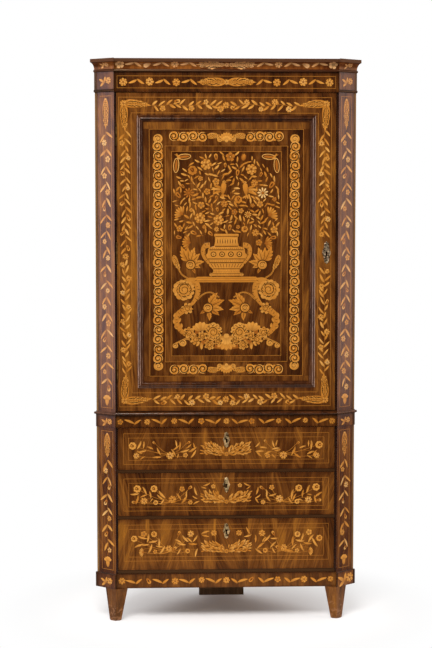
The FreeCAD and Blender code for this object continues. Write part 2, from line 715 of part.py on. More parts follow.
def drawer(number, floor, opening):
    """Every piece of one drawer, by name. The box tapers to pass between the back panels."""
    bottom = floor + DRAWER_GAP
    top = floor + opening - DRAWER_GAP
    key_z = top - DRAWER_KEY_DROP
    side_bottom = floor + SIDE_RUN_GAP
    side_top = top - SIDE_DROP
    tray_bottom = floor + TRAY_HEIGHT
    tray_top = tray_bottom + TRAY_THICKNESS
    back_y = BOX_REAR_Y - SIDE_THICKNESS

    groove = SIDE_THICKNESS - GROOVE_DEPTH
    tray_front = FRONT_THICKNESS - GROOVE_DEPTH
    tray_outline = [
        (side_x(FRONT_THICKNESS, SIDE_THICKNESS), tray_front),
        (side_x(FRONT_THICKNESS, SIDE_THICKNESS), FRONT_THICKNESS),
        (side_x(FRONT_THICKNESS, groove), FRONT_THICKNESS),
        (side_x(BOX_REAR_Y, groove), BOX_REAR_Y),
    ]
    tray = prism(both_sides(tray_outline), tray_bottom, tray_top)

    front = box(-DOOR_HALF, DOOR_HALF, 0, FRONT_THICKNESS, bottom, top)
    front = front.cut(drawer_lock_outer(top)).cut(keyhole(0, key_z, 0, FRONT_THICKNESS)).cut(tray)

    sides = []
    for side in (-1, 1):
        outline = [
            (side_x(FRONT_THICKNESS, 0), FRONT_THICKNESS),
            (side_x(BOX_REAR_Y, 0), BOX_REAR_Y),
            (side_x(BOX_REAR_Y, SIDE_THICKNESS), BOX_REAR_Y),
            (side_x(FRONT_THICKNESS, SIDE_THICKNESS), FRONT_THICKNESS),
        ]
        sides.append(prism(sided(side, outline), side_bottom, side_top).cut(tray))

    back_outline = [(side_x(back_y, SIDE_THICKNESS), back_y), (side_x(BOX_REAR_Y, SIDE_THICKNESS), BOX_REAR_Y)]
    back = prism(both_sides(back_outline), tray_top, side_top)

    outer = RUNNER_WIDTH / 2 + RUNNER_CLEARANCE + GUIDE_CHEEK
    inner = RUNNER_WIDTH / 2 + RUNNER_CLEARANCE
    guide = box(-outer, outer, FRONT_THICKNESS, back_y, floor + GUIDE_LIFT, tray_bottom)
    channel = box(-inner, inner, FRONT_THICKNESS, back_y, floor, floor + RUNNER_HEIGHT + GUIDE_LIFT)

    name = f"drawer_{number}_"
    return {
        name + "front": front,
        name + "sides": group(sides),
        name + "back": back,
        name + "bottom": tray,
        name + "guide": guide.cut(channel),
        name + "lock": drawer_lock(top),
        name + "lock_bolt": drawer_bolt(top),
        name + "escutcheon": escutcheon(0, key_z, DRAWER_ESCUTCHEON),
    }


def drawer_runners():
    """One rail under the middle of each drawer, on the board that carries it."""
    half = RUNNER_WIDTH / 2
    start = FRONT_THICKNESS + RUNNER_END_GAP
    end = BOX_REAR_Y - SIDE_THICKNESS - RUNNER_END_GAP
    return [box(-half, half, start, end, floor, floor + RUNNER_HEIGHT) for floor in DRAWER_FLOORS]


# Assembly

def case_pieces():
    case_screws = hinge_screws(-OPENING_HALF, -1)
    case_leaves = [case_leaf(level) for level in hinge_levels()]
    left = stile(-1).cut(foot_tenon(-1))
    for piece in case_leaves + case_screws:
        left = left.cut(piece)
    reach = DOOR_BOLT_TRAVEL + MORTISE_SPARE
    right = stile(1).cut(foot_tenon(1)).cut(door_bolt(BOLT_CLEARANCE, reach))
    leaves = [leaf.cut(group(case_screws)) for leaf in case_leaves]

    mortises = bolt_mortises()
    dust_boards = []
    for floor, mortise in zip(DRAWER_FLOORS[1:], mortises[:-1]):
        dust_boards.append(case_board(floor - DUST_BOARD_THICKNESS, DUST_BOARD_THICKNESS, 0).cut(mortise))
    waist_rail = front_rail(WAIST_BOTTOM, WAIST_TOP).cut(mortises[-1])

    shelves = [case_board(CUPBOARD_BOTTOM + h, SHELF_THICKNESS, SHELF_SETBACK) for h in SHELF_HEIGHTS]
    pieces = {
        "left_stile": left,
        "right_stile": right,
        "left_back_panel": back_panel(-1),
        "right_back_panel": back_panel(1),
        "rear_board": rear_board(),
        "bottom_board": case_board(PLINTH_TOP, BOTTOM_THICKNESS, 0),
        "dust_boards": group(dust_boards),
        "cupboard_floor": case_board(WAIST_TOP, FLOOR_THICKNESS, 0),
        "lower_shelf": shelves[0],
        "upper_shelf": shelves[1],
        "shelf_bearers": group(shelf_bearers()),
        "top_board": case_board(CASE_TOP - TOP_THICKNESS, TOP_THICKNESS, RAIL_THICKNESS),
        "frieze_rail": front_rail(CUPBOARD_TOP, CASE_TOP),
        "waist_rail": waist_rail,
        "plinth": group(plinth()),
        "left_foot": front_foot(-1),
        "right_foot": front_foot(1),
        "rear_foot": rear_foot(),
        "drawer_runners": group(drawer_runners()),
        "hinge_case_leaves": group(leaves),
        "case_hinge_screws": group(case_screws),
    }
    mouldings = {
        "cornice": (cornice_outline(), CORNICE_BOTTOM),
        "waist_moulding": (waist_outline(), WAIST_TOP),
    }
    for name, (outline, level) in mouldings.items():
        lengths = [along_front(*outline, level)]
        lengths += [along_cant(side, *outline, level) for side in (-1, 1)]
        pieces[name] = group(lengths)
    returns = {
        "frieze_returns": (frieze_return_outline(), CUPBOARD_TOP),
        "waist_returns": (facing_outline(WAIST_FACING, WAIST_RAIL_HEIGHT), WAIST_BOTTOM),
    }
    for name, (outline, level) in returns.items():
        pieces[name] = group([along_cant(side, *outline, level) for side in (-1, 1)])
    return pieces


def door_pieces():
    panel = door_panel()
    top_rail = door_rail(SIGHT_TOP, DOOR_TOP)
    bottom_rail = door_rail(DOOR_BOTTOM, SIGHT_BOTTOM)
    leaves = [door_leaf(level) for level in hinge_levels()]
    screws = hinge_screws(-DOOR_HALF, 1)

    hinge_stile = door_stile(-1)
    for piece in [panel, top_rail, bottom_rail] + leaves + screws:
        hinge_stile = hinge_stile.cut(piece)
    lock_stile = door_stile(1)
    for piece in (panel, top_rail, bottom_rail, door_lock_outer()):
        lock_stile = lock_stile.cut(piece)
    lock_stile = lock_stile.cut(keyhole(DOOR_KEY_X, DOOR_KEY_Z, 0, DOOR_THICKNESS))
    return {
        "door_hinge_stile": hinge_stile,
        "door_lock_stile": lock_stile,
        "door_top_rail": top_rail.cut(panel),
        "door_bottom_rail": bottom_rail.cut(panel),
        "door_panel": panel,
        "door_mouldings": group(panel_mouldings()),
        "hinge_door_leaves": group([leaf.cut(group(screws)) for leaf in leaves]),
        "door_hinge_screws": group(screws),
        "door_lock": door_lock(),
        "door_lock_bolt": door_bolt(),
        "door_escutcheon": escutcheon(DOOR_KEY_X, DOOR_KEY_Z, DOOR_ESCUTCHEON),
    }


def main():
    os.makedirs("parts", exist_ok=True)
    pieces = case_pieces()
    pieces.update(door_pieces())
    for number, (floor, opening) in enumerate(zip(DRAWER_FLOORS, DRAWER_OPENINGS)):
        pieces.update(drawer(len(DRAWER_OPENINGS) - number, floor, opening))
    for name, shape in pieces.items():
        for solid in shape.Solids:
            if not solid.isValid() or solid.Volume <= 0:
                print("not a sound solid:", name, solid.Volume)
        shape.translated(vec(0, -MIDDLE_Y)).exportStep(f"parts/{name}.step")
    print(len(pieces), "pieces, height", TOTAL_HEIGHT, "depth", round(REAR_Y + FRONT_REACH, 2))
    print("front plane at Y", round(-MIDDLE_Y, 3), "hinge axis", round(HINGE_X, 3), round(HINGE_Y - MIDDLE_Y, 3))


main()
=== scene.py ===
# %% [markdown]
# This lesson dresses a corner cabinet: a walnut case with a door over three drawers, covered with
# floral marquetry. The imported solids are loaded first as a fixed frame. Everything else is laid on
# them: sheets of veneer, thin lines of stringing, and thousands of small leaves and petals.

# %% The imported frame
import json
import math
import bpy
import numpy as np
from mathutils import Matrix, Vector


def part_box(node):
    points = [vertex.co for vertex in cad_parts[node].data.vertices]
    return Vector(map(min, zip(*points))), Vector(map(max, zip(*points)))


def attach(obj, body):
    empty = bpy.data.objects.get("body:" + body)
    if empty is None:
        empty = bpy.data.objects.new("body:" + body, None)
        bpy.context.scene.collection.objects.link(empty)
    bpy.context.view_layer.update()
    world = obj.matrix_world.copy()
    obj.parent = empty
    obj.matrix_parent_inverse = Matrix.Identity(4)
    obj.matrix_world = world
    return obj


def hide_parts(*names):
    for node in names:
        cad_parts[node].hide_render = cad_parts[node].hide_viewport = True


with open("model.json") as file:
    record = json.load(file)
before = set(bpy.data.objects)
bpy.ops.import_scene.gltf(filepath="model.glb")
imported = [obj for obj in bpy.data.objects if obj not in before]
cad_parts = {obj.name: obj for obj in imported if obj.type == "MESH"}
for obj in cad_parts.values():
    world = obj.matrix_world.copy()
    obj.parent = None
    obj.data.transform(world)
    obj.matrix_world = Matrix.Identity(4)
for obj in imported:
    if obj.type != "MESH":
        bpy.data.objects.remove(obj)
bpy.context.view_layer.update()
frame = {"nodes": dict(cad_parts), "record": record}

# %% [markdown]
# The camera stands a little left of the cabinet's middle, at the height of a person's eyes, and looks
# slightly down. These numbers were found by fitting a pinhole camera to the straight edges in the
# photograph. A long lens keeps the uprights nearly parallel. Angles are in degrees.

# %% Camera at the photograph's place
MM = 0.001
FRONT_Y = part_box("drawer_1_front")[0][1]
CAMERA_DISTANCE, CAMERA_HEIGHT, LENS, FILM = 6.100, 1.575, 93.4, 36.0
CAMERA_SIDE, CAMERA_DOWN, CAMERA_TURN = 2.98, 4.51, 0.36
camera = bpy.data.objects.new("camera", bpy.data.cameras.new("camera"))
camera.data.lens, camera.data.sensor_width = LENS, FILM
swung = math.radians(CAMERA_SIDE)
camera.location = (-CAMERA_DISTANCE * math.sin(swung),
                   FRONT_Y - CAMERA_DISTANCE * math.cos(swung), CAMERA_HEIGHT)
camera.rotation_euler = (math.radians(90 - CAMERA_DOWN), 0, math.radians(CAMERA_TURN) - swung)
bpy.context.collection.objects.link(camera)
bpy.context.scene.camera = camera
print("camera stands", round(CAMERA_DISTANCE, 2), "metres before the front")

# %% [markdown]
# Materials are built from nodes. One helper adds a node, sets its options and fills its inputs, either
# with plain values or with another node's output. Colours are written as they look on a screen, so a
# second helper turns them into the linear light that the renderer works in.

# %% Helpers for colours and nodes
def linear(code):
    """Each channel c of an sRGB code becomes c / 12.92 up to 0.04045, and ((c + 0.055) / 1.055) ^ 2.4 above."""
    c = np.array([int(code[i:i + 2], 16) for i in (1, 3, 5)]) / 255
    return (*np.where(c <= 0.04045, c / 12.92, ((c + 0.055) / 1.055) ** 2.4), 1.0)


def fill(tree, node, inputs):
    """Gives each input its value, or links it to an output. A node stands for its first output."""
    for key, value in inputs.items():
        if isinstance(value, bpy.types.Node):
            value = value.outputs[0]
        if isinstance(value, bpy.types.NodeSocket):
            tree.links.new(value, node.inputs[key])
        else:
            node.inputs[key].default_value = value


def add(tree, kind, inputs=None, stops=(), **settings):
    """Adds one shader node with its settings, its colour stops if it is a ramp, and its inputs."""
    made = tree.nodes.new("ShaderNode" + kind)
    for key, value in settings.items():
        setattr(made, key, value)
    for i, (place, code) in enumerate(stops):
        ramp = made.color_ramp.elements
        stop = ramp[i] if i < 2 else ramp.new(place)
        stop.position, stop.color = place, linear(code)
    fill(tree, made, inputs or {})
    return made


def blank(name):
    """A new material with one surface shader, joined to its output."""
    made = bpy.data.materials.new(name)
    made.use_nodes = True
    return made, made.node_tree, made.node_tree.nodes["Principled BSDF"]


print("a middle grey on the screen is", round(linear("#808080")[0], 3), "of white in linear light")

# %% [markdown]
# Walnut is a brown wood with darker streaks along the grain and short open pores. Cut as veneer and
# polished with shellac it has a soft shine. Each sheet of veneer carries its own grain coordinates in
# millimetres, across and along the grain, with a third number that differs from sheet to sheet, so one
# material gives every sheet its own figure. Solid pieces read their place in the cabinet instead.

# %% Grain of veneer and of boards
METRE = 1000.0
FAR_APART = 900.0
BOARD_TONES, BOARD_JOINT, JOINT_SHADE = (0.30, 0.64), 5.0, 0.15


def stored(tree):
    """The grain coordinates, the tone and the burn that a piece carries on its points."""
    grain, tone, burn = (add(tree, "Attribute", attribute_name=name) for name in ("grain", "tone", "burn"))
    return grain.outputs["Vector"], tone.outputs["Fac"], burn.outputs["Fac"]


def boarded(tree, place, grain, boards):
    """Boards side by side, given as an axis, a width and the place of the first joint. A white noise shifts each
    board's figure and picks its tone. The joint is dark where count - floor(count) is small."""
    axis, width, first = boards
    side = add(tree, "Math", {0: add(tree, "SeparateXYZ", {0: place}).outputs[axis]}, operation="ABSOLUTE")
    count = add(tree, "Math", {0: side, 1: METRE / width, 2: -first / width}, operation="MULTIPLY_ADD")
    number = add(tree, "Math", {0: count}, operation="FLOOR")
    pick = add(tree, "TexWhiteNoise", {"W": number}, noise_dimensions="1D").outputs["Value"]
    deep = add(tree, "Math", {0: pick, 1: FAR_APART}, operation="MULTIPLY")
    fill(tree, grain, {"Location": add(tree, "CombineXYZ", {"Z": deep})})
    edge = add(tree, "Math", {0: count}, operation="FRACT")
    tone = add(tree, "MapRange", {"Value": pick, "To Min": BOARD_TONES[0], "To Max": BOARD_TONES[1]})
    return tone, add(tree, "MapRange", {"Value": edge, "From Max": BOARD_JOINT / width, "To Min": JOINT_SHADE})


print("grain in millimetres, stored on veneer or read from the place of a board")

# %% [markdown]
# The figure, the streaks and the pores are three noises, each with a width across the grain and a length
# along it in millimetres. Real pores are about a quarter of a millimetre wide, too fine to show in the
# render, so they are drawn about five times as coarse. Shellac reflects a little golden. On the canted faces
# and the mouldings the old polish has gone grey, so they reflect without that tint.

# %% Walnut, as veneer and as solid wood
SHELLAC, BLOOM, GREYED = "#ffd8a0", "#fffaff", "#ffeedc"
WALNUT = [(0.0, "#2a1105"), (0.34, "#4c260b"), (0.60, "#6e4017"), (1.0, "#a2671f")]
DARK = [(0.0, "#1a0a04"), (0.4, "#341808"), (0.7, "#4d2910"), (1.0, "#6c3f1a")]
RUDDY = [(0.0, "#341305"), (0.34, "#5a2a0d"), (0.60, "#80461a"), (1.0, "#b56e2b")]
BROAD = (46, 210)
FINE = {"streak": (5.0, 240, 3.0), "pore": (1.4, 22, 1.0)}
FIGURE_SHARE, STREAK_SHARE, TONE_SHARE, MIDDLE = 1.4, 0.59, 0.9, 0.97
WOOD_IOR, PORE_BUMP, PORE_DEPTH = 1.46, 0.12, 0.4 * MM


def timber(name, turn=None, stops=WALNUT, shift=0.0, shine=0.18, figure=BROAD, boards=None, folded=False,
           polish=SHELLAC):
    """Level = 1.4 figure + 0.59 streaks + 0.9 tone - 0.97 + shift picks the colour, and open pores darken it. A
    solid's grain is turned in the cabinet. Folded grain is the same to the left and the right of its middle."""
    material, tree, surface = blank(name)
    tone, joint = 0.5, 1.0
    if turn is None:
        grain, tone, burn = stored(tree)
        # On veneer the stored burn is painted shade: it darkens the ends of each leaf.
        tone = add(tree, "Math", {0: tone, 1: burn}, operation="SUBTRACT")
    else:
        place = add(tree, "TexCoord").outputs["Object"]
        if folded:
            x, y, z = add(tree, "SeparateXYZ", {0: place}).outputs
            x = add(tree, "Math", {0: x}, operation="ABSOLUTE")
            place = add(tree, "CombineXYZ", {"X": x, "Y": y, "Z": z})
        grain = add(tree, "Mapping", {"Vector": place, "Rotation": turn, "Scale": (METRE, METRE, METRE)})
        if boards:
            tone, joint = boarded(tree, place, grain, boards)
    noise = {}
    for kind, (across, along, detail) in {"figure": (*figure, 3.0), **FINE}.items():
        wide = add(tree, "Mapping", {"Vector": grain, "Scale": (1 / across, 1 / along, 1 / across)})
        noise[kind] = add(tree, "TexNoise", {"Vector": wide, "Scale": 1.0, "Detail": detail, "Roughness": 0.55,
                                             "Distortion": 0.9}).outputs["Fac"]
    level = add(tree, "Math", {0: noise["figure"], 1: FIGURE_SHARE}, operation="MULTIPLY")
    for part, share in ((noise["streak"], STREAK_SHARE), (tone, TONE_SHARE)):
        level = add(tree, "Math", {0: part, 1: share, 2: level}, operation="MULTIPLY_ADD")
    level = add(tree, "Math", {0: level, 1: MIDDLE - shift}, operation="SUBTRACT")
    colour = add(tree, "ValToRGB", {"Fac": level}, stops)
    pores = add(tree, "MapRange", {"Value": noise["pore"], "From Min": 0.36, "From Max": 0.46, "To Min": 0.62})
    shade = add(tree, "Math", {0: pores, 1: joint}, operation="MULTIPLY")
    dark = add(tree, "Mix", {"Factor": 1.0, "A": colour, "B": shade}, data_type="RGBA", blend_type="MULTIPLY")
    rough = add(tree, "MapRange", {"Value": noise["pore"], "From Min": 0.3, "From Max": 0.6,
                                   "To Min": shine + 0.12, "To Max": shine})
    bump = add(tree, "Bump", {"Height": pores, "Strength": PORE_BUMP, "Distance": PORE_DEPTH})
    fill(tree, surface, {"Base Color": dark.outputs[2], "Roughness": rough, "Normal": bump,
                         "IOR": WOOD_IOR, "Specular Tint": linear(polish)})
    return material


print("walnut is mixed from a figure of", *BROAD, "mm, streaks and pores")

# %% [markdown]
# Each use of the wood gets its own finish from that one function. The grain of a solid is turned upright or
# level, and a shift makes the whole piece lighter or darker.

# %% Walnut finishes
QUARTER = math.pi / 2
UPRIGHT, LEVEL = (QUARTER, 0, 0), (0, 0, QUARTER)
veneer = timber("walnut_veneer")
canted_veneer = timber("walnut_veneer_canted", polish=BLOOM)
foot_wood = timber("walnut_upright", UPRIGHT, shift=-0.05)
# Painted shade: the frame's walnut shows only at edges, gaps and quirks, so it is made very dark as the shade
# there.
shaded_ground_wood = timber("walnut_ground_painted_shade", UPRIGHT, DARK, -0.15)
# Painted shade: the stiles show in the quirk beside the door, so they are made very dark as the shade in it.
shaded_stile_wood = timber("walnut_stiles_painted_shade", UPRIGHT, DARK, -0.15, polish=BLOOM)
moulded = timber("walnut_moulding", UPRIGHT, DARK, 0.05, 0.08, polish=GREYED)
# The cornice's walnut is partly its own redder colour and partly painted light: it is made lighter to make up for
# the shade in its hollow. Its top and foot get painted shade below.
cornice_wood_painted_light_and_shade = timber("walnut_cornice_painted_light_and_shade", UPRIGHT, RUDDY, 0.07)
door_wood = timber("walnut_door_back", UPRIGHT, shift=-0.12, shine=0.3, figure=(34, 420))
door_rail_wood = timber("walnut_door_rails", LEVEL, shift=-0.10, shine=0.3)
print("finishes:", *[m.name for m in bpy.data.materials if m.name.startswith("walnut")])

# %% [markdown]
# The inlay is cut from pale woods such as box, satinwood and pear. Each little piece has a tone, from
# ebony at 0 to holly at 1, and a burn: the cutter dips one end in hot sand, which browns it and makes a
# leaf look round. Both are stored on the mesh, and the material turns them into colour. The fibres of such
# woods are too fine to show in the render, so they are drawn coarser.

# %% Inlay woods
STAINED_WOODS = [(0.0, "#1c0d06"), (0.12, "#3b1d0c")]
PALE_WOODS = STAINED_WOODS + [(0.25, "#93501a"), (0.45, "#c07a28"), (0.7, "#da9a44"), (1.0, "#eecb8a")]
# Painted light: the cornice's woods are brighter and more orange than the same woods elsewhere, to make up for the
# shade in its hollow.
CORNICE_WOODS_PAINTED_LIGHT = STAINED_WOODS + [(0.25, "#c4763a"), (0.6, "#fdbc72"), (1.0, "#fed8a4")]
SCORCHED, INLAY_ROUGH = "#5a2808", 0.22
FIBRES_PER_MM = (0.6, 0.045, 1)


def inlay_wood(name, stops, polish=SHELLAC):
    """The tone picks the wood, a noise stretched along the grain gives its fibres, and the burn browns it."""
    material, tree, surface = blank(name)
    grain, tone, burn = stored(tree)
    wood = add(tree, "ValToRGB", {"Fac": tone}, stops)
    wide = add(tree, "Mapping", {"Vector": grain, "Scale": FIBRES_PER_MM})
    fibre = add(tree, "TexNoise", {"Vector": wide, "Scale": 1.0, "Detail": 2.0}).outputs["Fac"]
    streaked = add(tree, "MapRange", {"Value": fibre, "From Min": 0.3, "From Max": 0.7,
                                      "To Min": 0.80, "To Max": 1.06})
    shown = add(tree, "Mix", {"Factor": 1.0, "A": wood, "B": streaked}, data_type="RGBA", blend_type="MULTIPLY")
    scorch = add(tree, "Mix", {"Factor": burn, "A": shown.outputs[2], "B": linear(SCORCHED)}, data_type="RGBA")
    fill(tree, surface, {"Base Color": scorch.outputs[2], "Roughness": INLAY_ROUGH, "IOR": WOOD_IOR,
                         "Specular Tint": linear(polish)})
    return material


inlay = inlay_wood("inlay_woods", PALE_WOODS)
canted_inlay = inlay_wood("inlay_woods_canted", PALE_WOODS, BLOOM)
cornice_inlay_painted_light = inlay_wood("inlay_woods_cornice_painted_light", CORNICE_WOODS_PAINTED_LIGHT)
print("inlay woods from ebony to holly")

# %% [markdown]
# The unseen parts of the case are oak: paler, straight in the grain and only waxed. The back is made of
# upright boards side by side, the top and the shelves of boards that lie level, and both show their
# joints. Where a board's front edge shows between the drawers it gets painted shade, in the next cell.

# %% Oak
OAK = [(0.0, "#4a3018"), (0.4, "#6b4a28"), (0.65, "#86623a"), (1.0, "#a37f50")]
SMOKED = [(0.0, "#261a11"), (0.5, "#493526"), (1.0, "#644c36")]
STRAIGHT = (13, 700)
WAXED = dict(stops=OAK, shine=0.55, figure=STRAIGHT)
rear_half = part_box("rear_board")[1][0] / MM
back_oak = timber("oak_back_boards", UPRIGHT, boards=("X", 117, rear_half), **WAXED)
level_oak = timber("oak_level_boards", LEVEL, boards=("Y", 140, 50), **WAXED)
oak = timber("oak_plain", LEVEL, **WAXED)
# Painted shade: the front edges of these boards are made dark to stand in for the shadow between the drawers.
shade_edged_oak = timber("oak_shade_edged", LEVEL, **WAXED)
side_oak = timber("oak_drawer_sides", (0, 0, -QUARTER / 2), folded=True, **WAXED)
smoked_oak = timber("oak_smoked", UPRIGHT, SMOKED, shine=0.45, figure=STRAIGHT)
print("finishes:", *[m.name for m in bpy.data.materials if m.name.startswith("oak")])

# %% [markdown]
# A mask lets a second colour lie over a finish. The painted shade has a sharp limit, at a height or a depth.
# The wear of the feet comes in patches.

# %% Painted shade and wear
def overlaid(material, mask, code, rough):
    """Puts another colour and roughness over a finish, as far as the mask lets them through."""
    tree, surface = material.node_tree, material.node_tree.nodes["Principled BSDF"]
    for name, value, kind, out in (("Base Color", linear(code), "RGBA", 2), ("Roughness", rough, "FLOAT", 0)):
        below = surface.inputs[name].links[0].from_socket
        mixed = add(tree, "Mix", {"Factor": mask, "A": below, "B": value}, data_type=kind)
        fill(tree, surface, {name: mixed.outputs[out]})


def painted_shade_over(material, axis, limit, way, code, rough=0.4):
    """Paints shade over the part of a solid that lies below or above a limit, measured along one axis in metres."""
    tree = material.node_tree
    place = add(tree, "SeparateXYZ", {0: add(tree, "TexCoord").outputs["Object"]}).outputs[axis]
    overlaid(material, add(tree, "Math", {0: place, 1: limit}, operation=way), code, rough)


def scuffed(material, reach, patch_mm, code):
    """Wears the polish off in patches, the more the nearer they are to the floor. The mask is a noise times the
    height's share."""
    tree = material.node_tree
    place = add(tree, "TexCoord").outputs["Object"]
    height = add(tree, "SeparateXYZ", {0: place}).outputs["Z"]
    near = add(tree, "MapRange", {"Value": height, "From Max": reach, "To Min": 1.0, "To Max": 0.55})
    patch = add(tree, "TexNoise", {"Vector": place, "Scale": METRE / patch_mm, "Detail": 5.0, "Distortion": 0.6})
    worn = add(tree, "Math", {0: patch.outputs["Fac"], 1: near}, operation="MULTIPLY")
    mask = add(tree, "MapRange", {"Value": worn, "From Min": 0.43, "From Max": 0.60, "To Max": 0.7})
    overlaid(material, mask, code, 0.5)


FRONT_SHADE_DEPTH, DOOR_EDGE, CORNICE_FILLET, CORNICE_FOOT = 0.022, 0.004, 0.013, 0.0105
cornice_z, cornice_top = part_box("cornice")[0][2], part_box("cornice")[1][2]
# Painted shade: the front 22 mm of the dust boards, the bottom board and the cupboard floor are made dark, as the
# shadow in the gaps.
painted_shade_over(shade_edged_oak, "Y", FRONT_Y + FRONT_SHADE_DEPTH, "LESS_THAN", "#38200f")
# Painted shade: the top fillet of the cornice is made dark as the shade it lies in, and rougher.
painted_shade_over(cornice_wood_painted_light_and_shade, "Z", cornice_top - CORNICE_FILLET, "GREATER_THAN", "#462616")
# Painted shade: the lowest fillet of the cornice is made dark as the shadow under its overhang.
painted_shade_over(cornice_wood_painted_light_and_shade, "Z", cornice_z + CORNICE_FOOT, "LESS_THAN", "#3a1c0d", 0.2)
# Painted shade: the front 4 mm of the door's solids, its edges, are made nearly black as the shadow in the gap
# round the door.
for wood in (door_wood, door_rail_wood):
    painted_shade_over(wood, "Y", FRONT_Y + DOOR_EDGE, "LESS_THAN", "#1a0a04")
scuffed(foot_wood, 0.12, 14, "#85593a")
# The print lists the parts that were darkened with painted shade.
print("stained: the boards' edges, the cornice and the door's edges")

# %% [markdown]
# The keyhole plates are cast brass gone dull, the hinges drawn brass, and the locks iron. A metal gets its
# look from its colour, a high metallic value and an uneven roughness where hands have been. Then every
# solid of the frame gets its finish, by its material slot or, where it needs its own, by its name.

# %% Metals, and a finish for every solid
def metal(name, light, dark, rough, patch_mm):
    """A metal whose tarnish follows a noise of the given patch size, darker and rougher in the patches."""
    material, tree, surface = blank(name)
    place = add(tree, "TexCoord").outputs["Object"]
    patch = add(tree, "TexNoise", {"Vector": place, "Scale": METRE / patch_mm, "Detail": 5.0}).outputs["Fac"]
    colour = add(tree, "ValToRGB", {"Fac": patch}, [(0.36, dark), (0.62, light)])
    worn = add(tree, "MapRange", {"Value": patch, "To Min": rough + 0.2, "To Max": rough - 0.1})
    fill(tree, surface, {"Base Color": colour, "Roughness": worn, "Metallic": 1.0})
    return material


cast_brass = metal("brass_cast", "#ffe0a4", "#3a2610", 0.36, 9)
browned_brass = metal("brass_browned", "#ecd2aa", "#20140a", 0.34, 7)
drawn_brass = metal("brass_drawn", "#8a6a38", "#4a3318", 0.4, 12)
iron = metal("iron_forged", "#5a5450", "#2c2826", 0.5, 6)
finish_of = {"veneered_walnut": shaded_ground_wood, "stained_walnut": moulded, "case_oak": oak, "cast_brass": cast_brass,
             "hinge_brass": drawn_brass, "lock_iron": iron}
OWN_FINISH = ((shaded_stile_wood, "left_stile right_stile"), (foot_wood, "left_foot right_foot"),
              (smoked_oak, "rear_foot"), (cornice_wood_painted_light_and_shade, "cornice"),
              (back_oak, "left_back_panel right_back_panel rear_board"),
              (level_oak, "top_board lower_shelf upper_shelf"),
              (shade_edged_oak, "dust_boards bottom_board cupboard_floor"),
              (door_wood, "door_hinge_stile door_lock_stile door_panel"),
              (door_rail_wood, "door_top_rail door_bottom_rail"),
              (side_oak, "drawer_1_sides drawer_2_sides drawer_3_sides"))
special = {node: finish for finish, nodes in OWN_FINISH for node in nodes.split()}
for part in frame["record"]["subparts"]:
    solid = frame["nodes"][part["node"]]
    solid.data.materials.clear()
    solid.data.materials.append(special.get(part["node"], finish_of[part["material_slot"]]))
print(len(frame["nodes"]), "solids have a finish")

# %% [markdown]
# Every decorated face has its own sheet of coordinates: u to the right and v up, in millimetres, and h
# outwards from the wood. A small function carries such points into the room. The canted corners are
# flat sheets turned by forty degrees.

# %% Sheets of coordinates on the faces
def flat(middle, turn=0.0):
    """Point = middle + u * right + v * up + h * outwards, where right is turned about the upright axis."""
    right = np.array([math.cos(turn), math.sin(turn), 0.0])
    out = np.array([math.sin(turn), -math.cos(turn), 0.0])
    middle = np.asarray(middle, float)

    def place(u, v, h):
        u, v, h = (np.asarray(x, float)[..., None] * MM for x in np.broadcast_arrays(u, v, h))
        return middle + u * right + v * np.array([0.0, 0.0, 1.0]) + h * out
    return place


def middle_z(node):
    """Half of the sum of a solid's lowest and highest z."""
    low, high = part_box(node)
    return (low[2] + high[2]) / 2


CANT = math.radians(40)
STILE_FACE = 80.0
ARRIS_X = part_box("frieze_rail")[1][0]
ARRIS_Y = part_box("right_stile")[0][1]


def canted(side, z, proud=0.0):
    """The flat sheet of a canted face, centred on the visible width of the stile."""
    along = STILE_FACE / 2 * MM
    x = side * (ARRIS_X + along * math.cos(CANT) + proud * MM * math.sin(CANT))
    y = ARRIS_Y + along * math.sin(CANT) - proud * MM * math.cos(CANT)
    return flat((x, y, z), side * CANT)


print("a canted face shows", STILE_FACE, "mm of the stile")

# %% [markdown]
# The hollow of the cornice is given by three points of its profile: how far each stands out from the front
# and how high it is over the cornice's foot. The circle through them has its centre where two straight lines
# meet, which a small system of equations solves.

# %% The hollow of the cornice
COVE = np.array([(3.0, 10.5), (8.0, 25.7), (21.5, 35.0)])


def hollow(sheet):
    """Bends a sheet round the cove of the cornice: v runs along the arc through three points of its profile."""
    low, mid, high = COVE
    rows = 2 * np.array([mid - low, high - low])
    centre = np.linalg.solve(rows, [mid @ mid - low @ low, high @ high - low @ low])
    radius = np.linalg.norm(low - centre)
    start, end = (math.atan2(*(tip - centre)[::-1]) % (2 * math.pi) for tip in (low, high))

    def place(u, v, h):
        angle = (start + end) / 2 - np.asarray(v, float) / radius
        reach = radius - np.asarray(h, float)
        return sheet(u, centre[1] + reach * np.sin(angle), centre[0] + reach * np.cos(angle))
    return place, radius * abs(end - start)


cove, cove_width = hollow(flat((0, FRONT_Y, cornice_z)))
print("the hollow of the cornice is", round(cove_width, 1), "mm wide")

# %% [markdown]
# All inlay is made from one form: a strip that follows a path and swells and narrows along it. A leaf is
# a strip with a bent path, a petal a short fat one, a disc one whose half width follows a circle. The
# strip's section has five points, two at the foot, two shoulders and a low crown, so each piece is a
# closed little solid. Filled curves could be cut out as well, but thousands of them would be slow, and whole
# families of strips can be worked out at once as arrays.

# %% Strips as closed solids
SECTION = np.array([1.0, 0.93, 0.0, -0.93, -1.0])
SHADE = np.array([0.10, 0.06, 0.0, 0.22, 0.30])
AT_FOOT, AT_CROWN = [True, False, False, False, True], np.array([0, 0, 1, 0, 0])


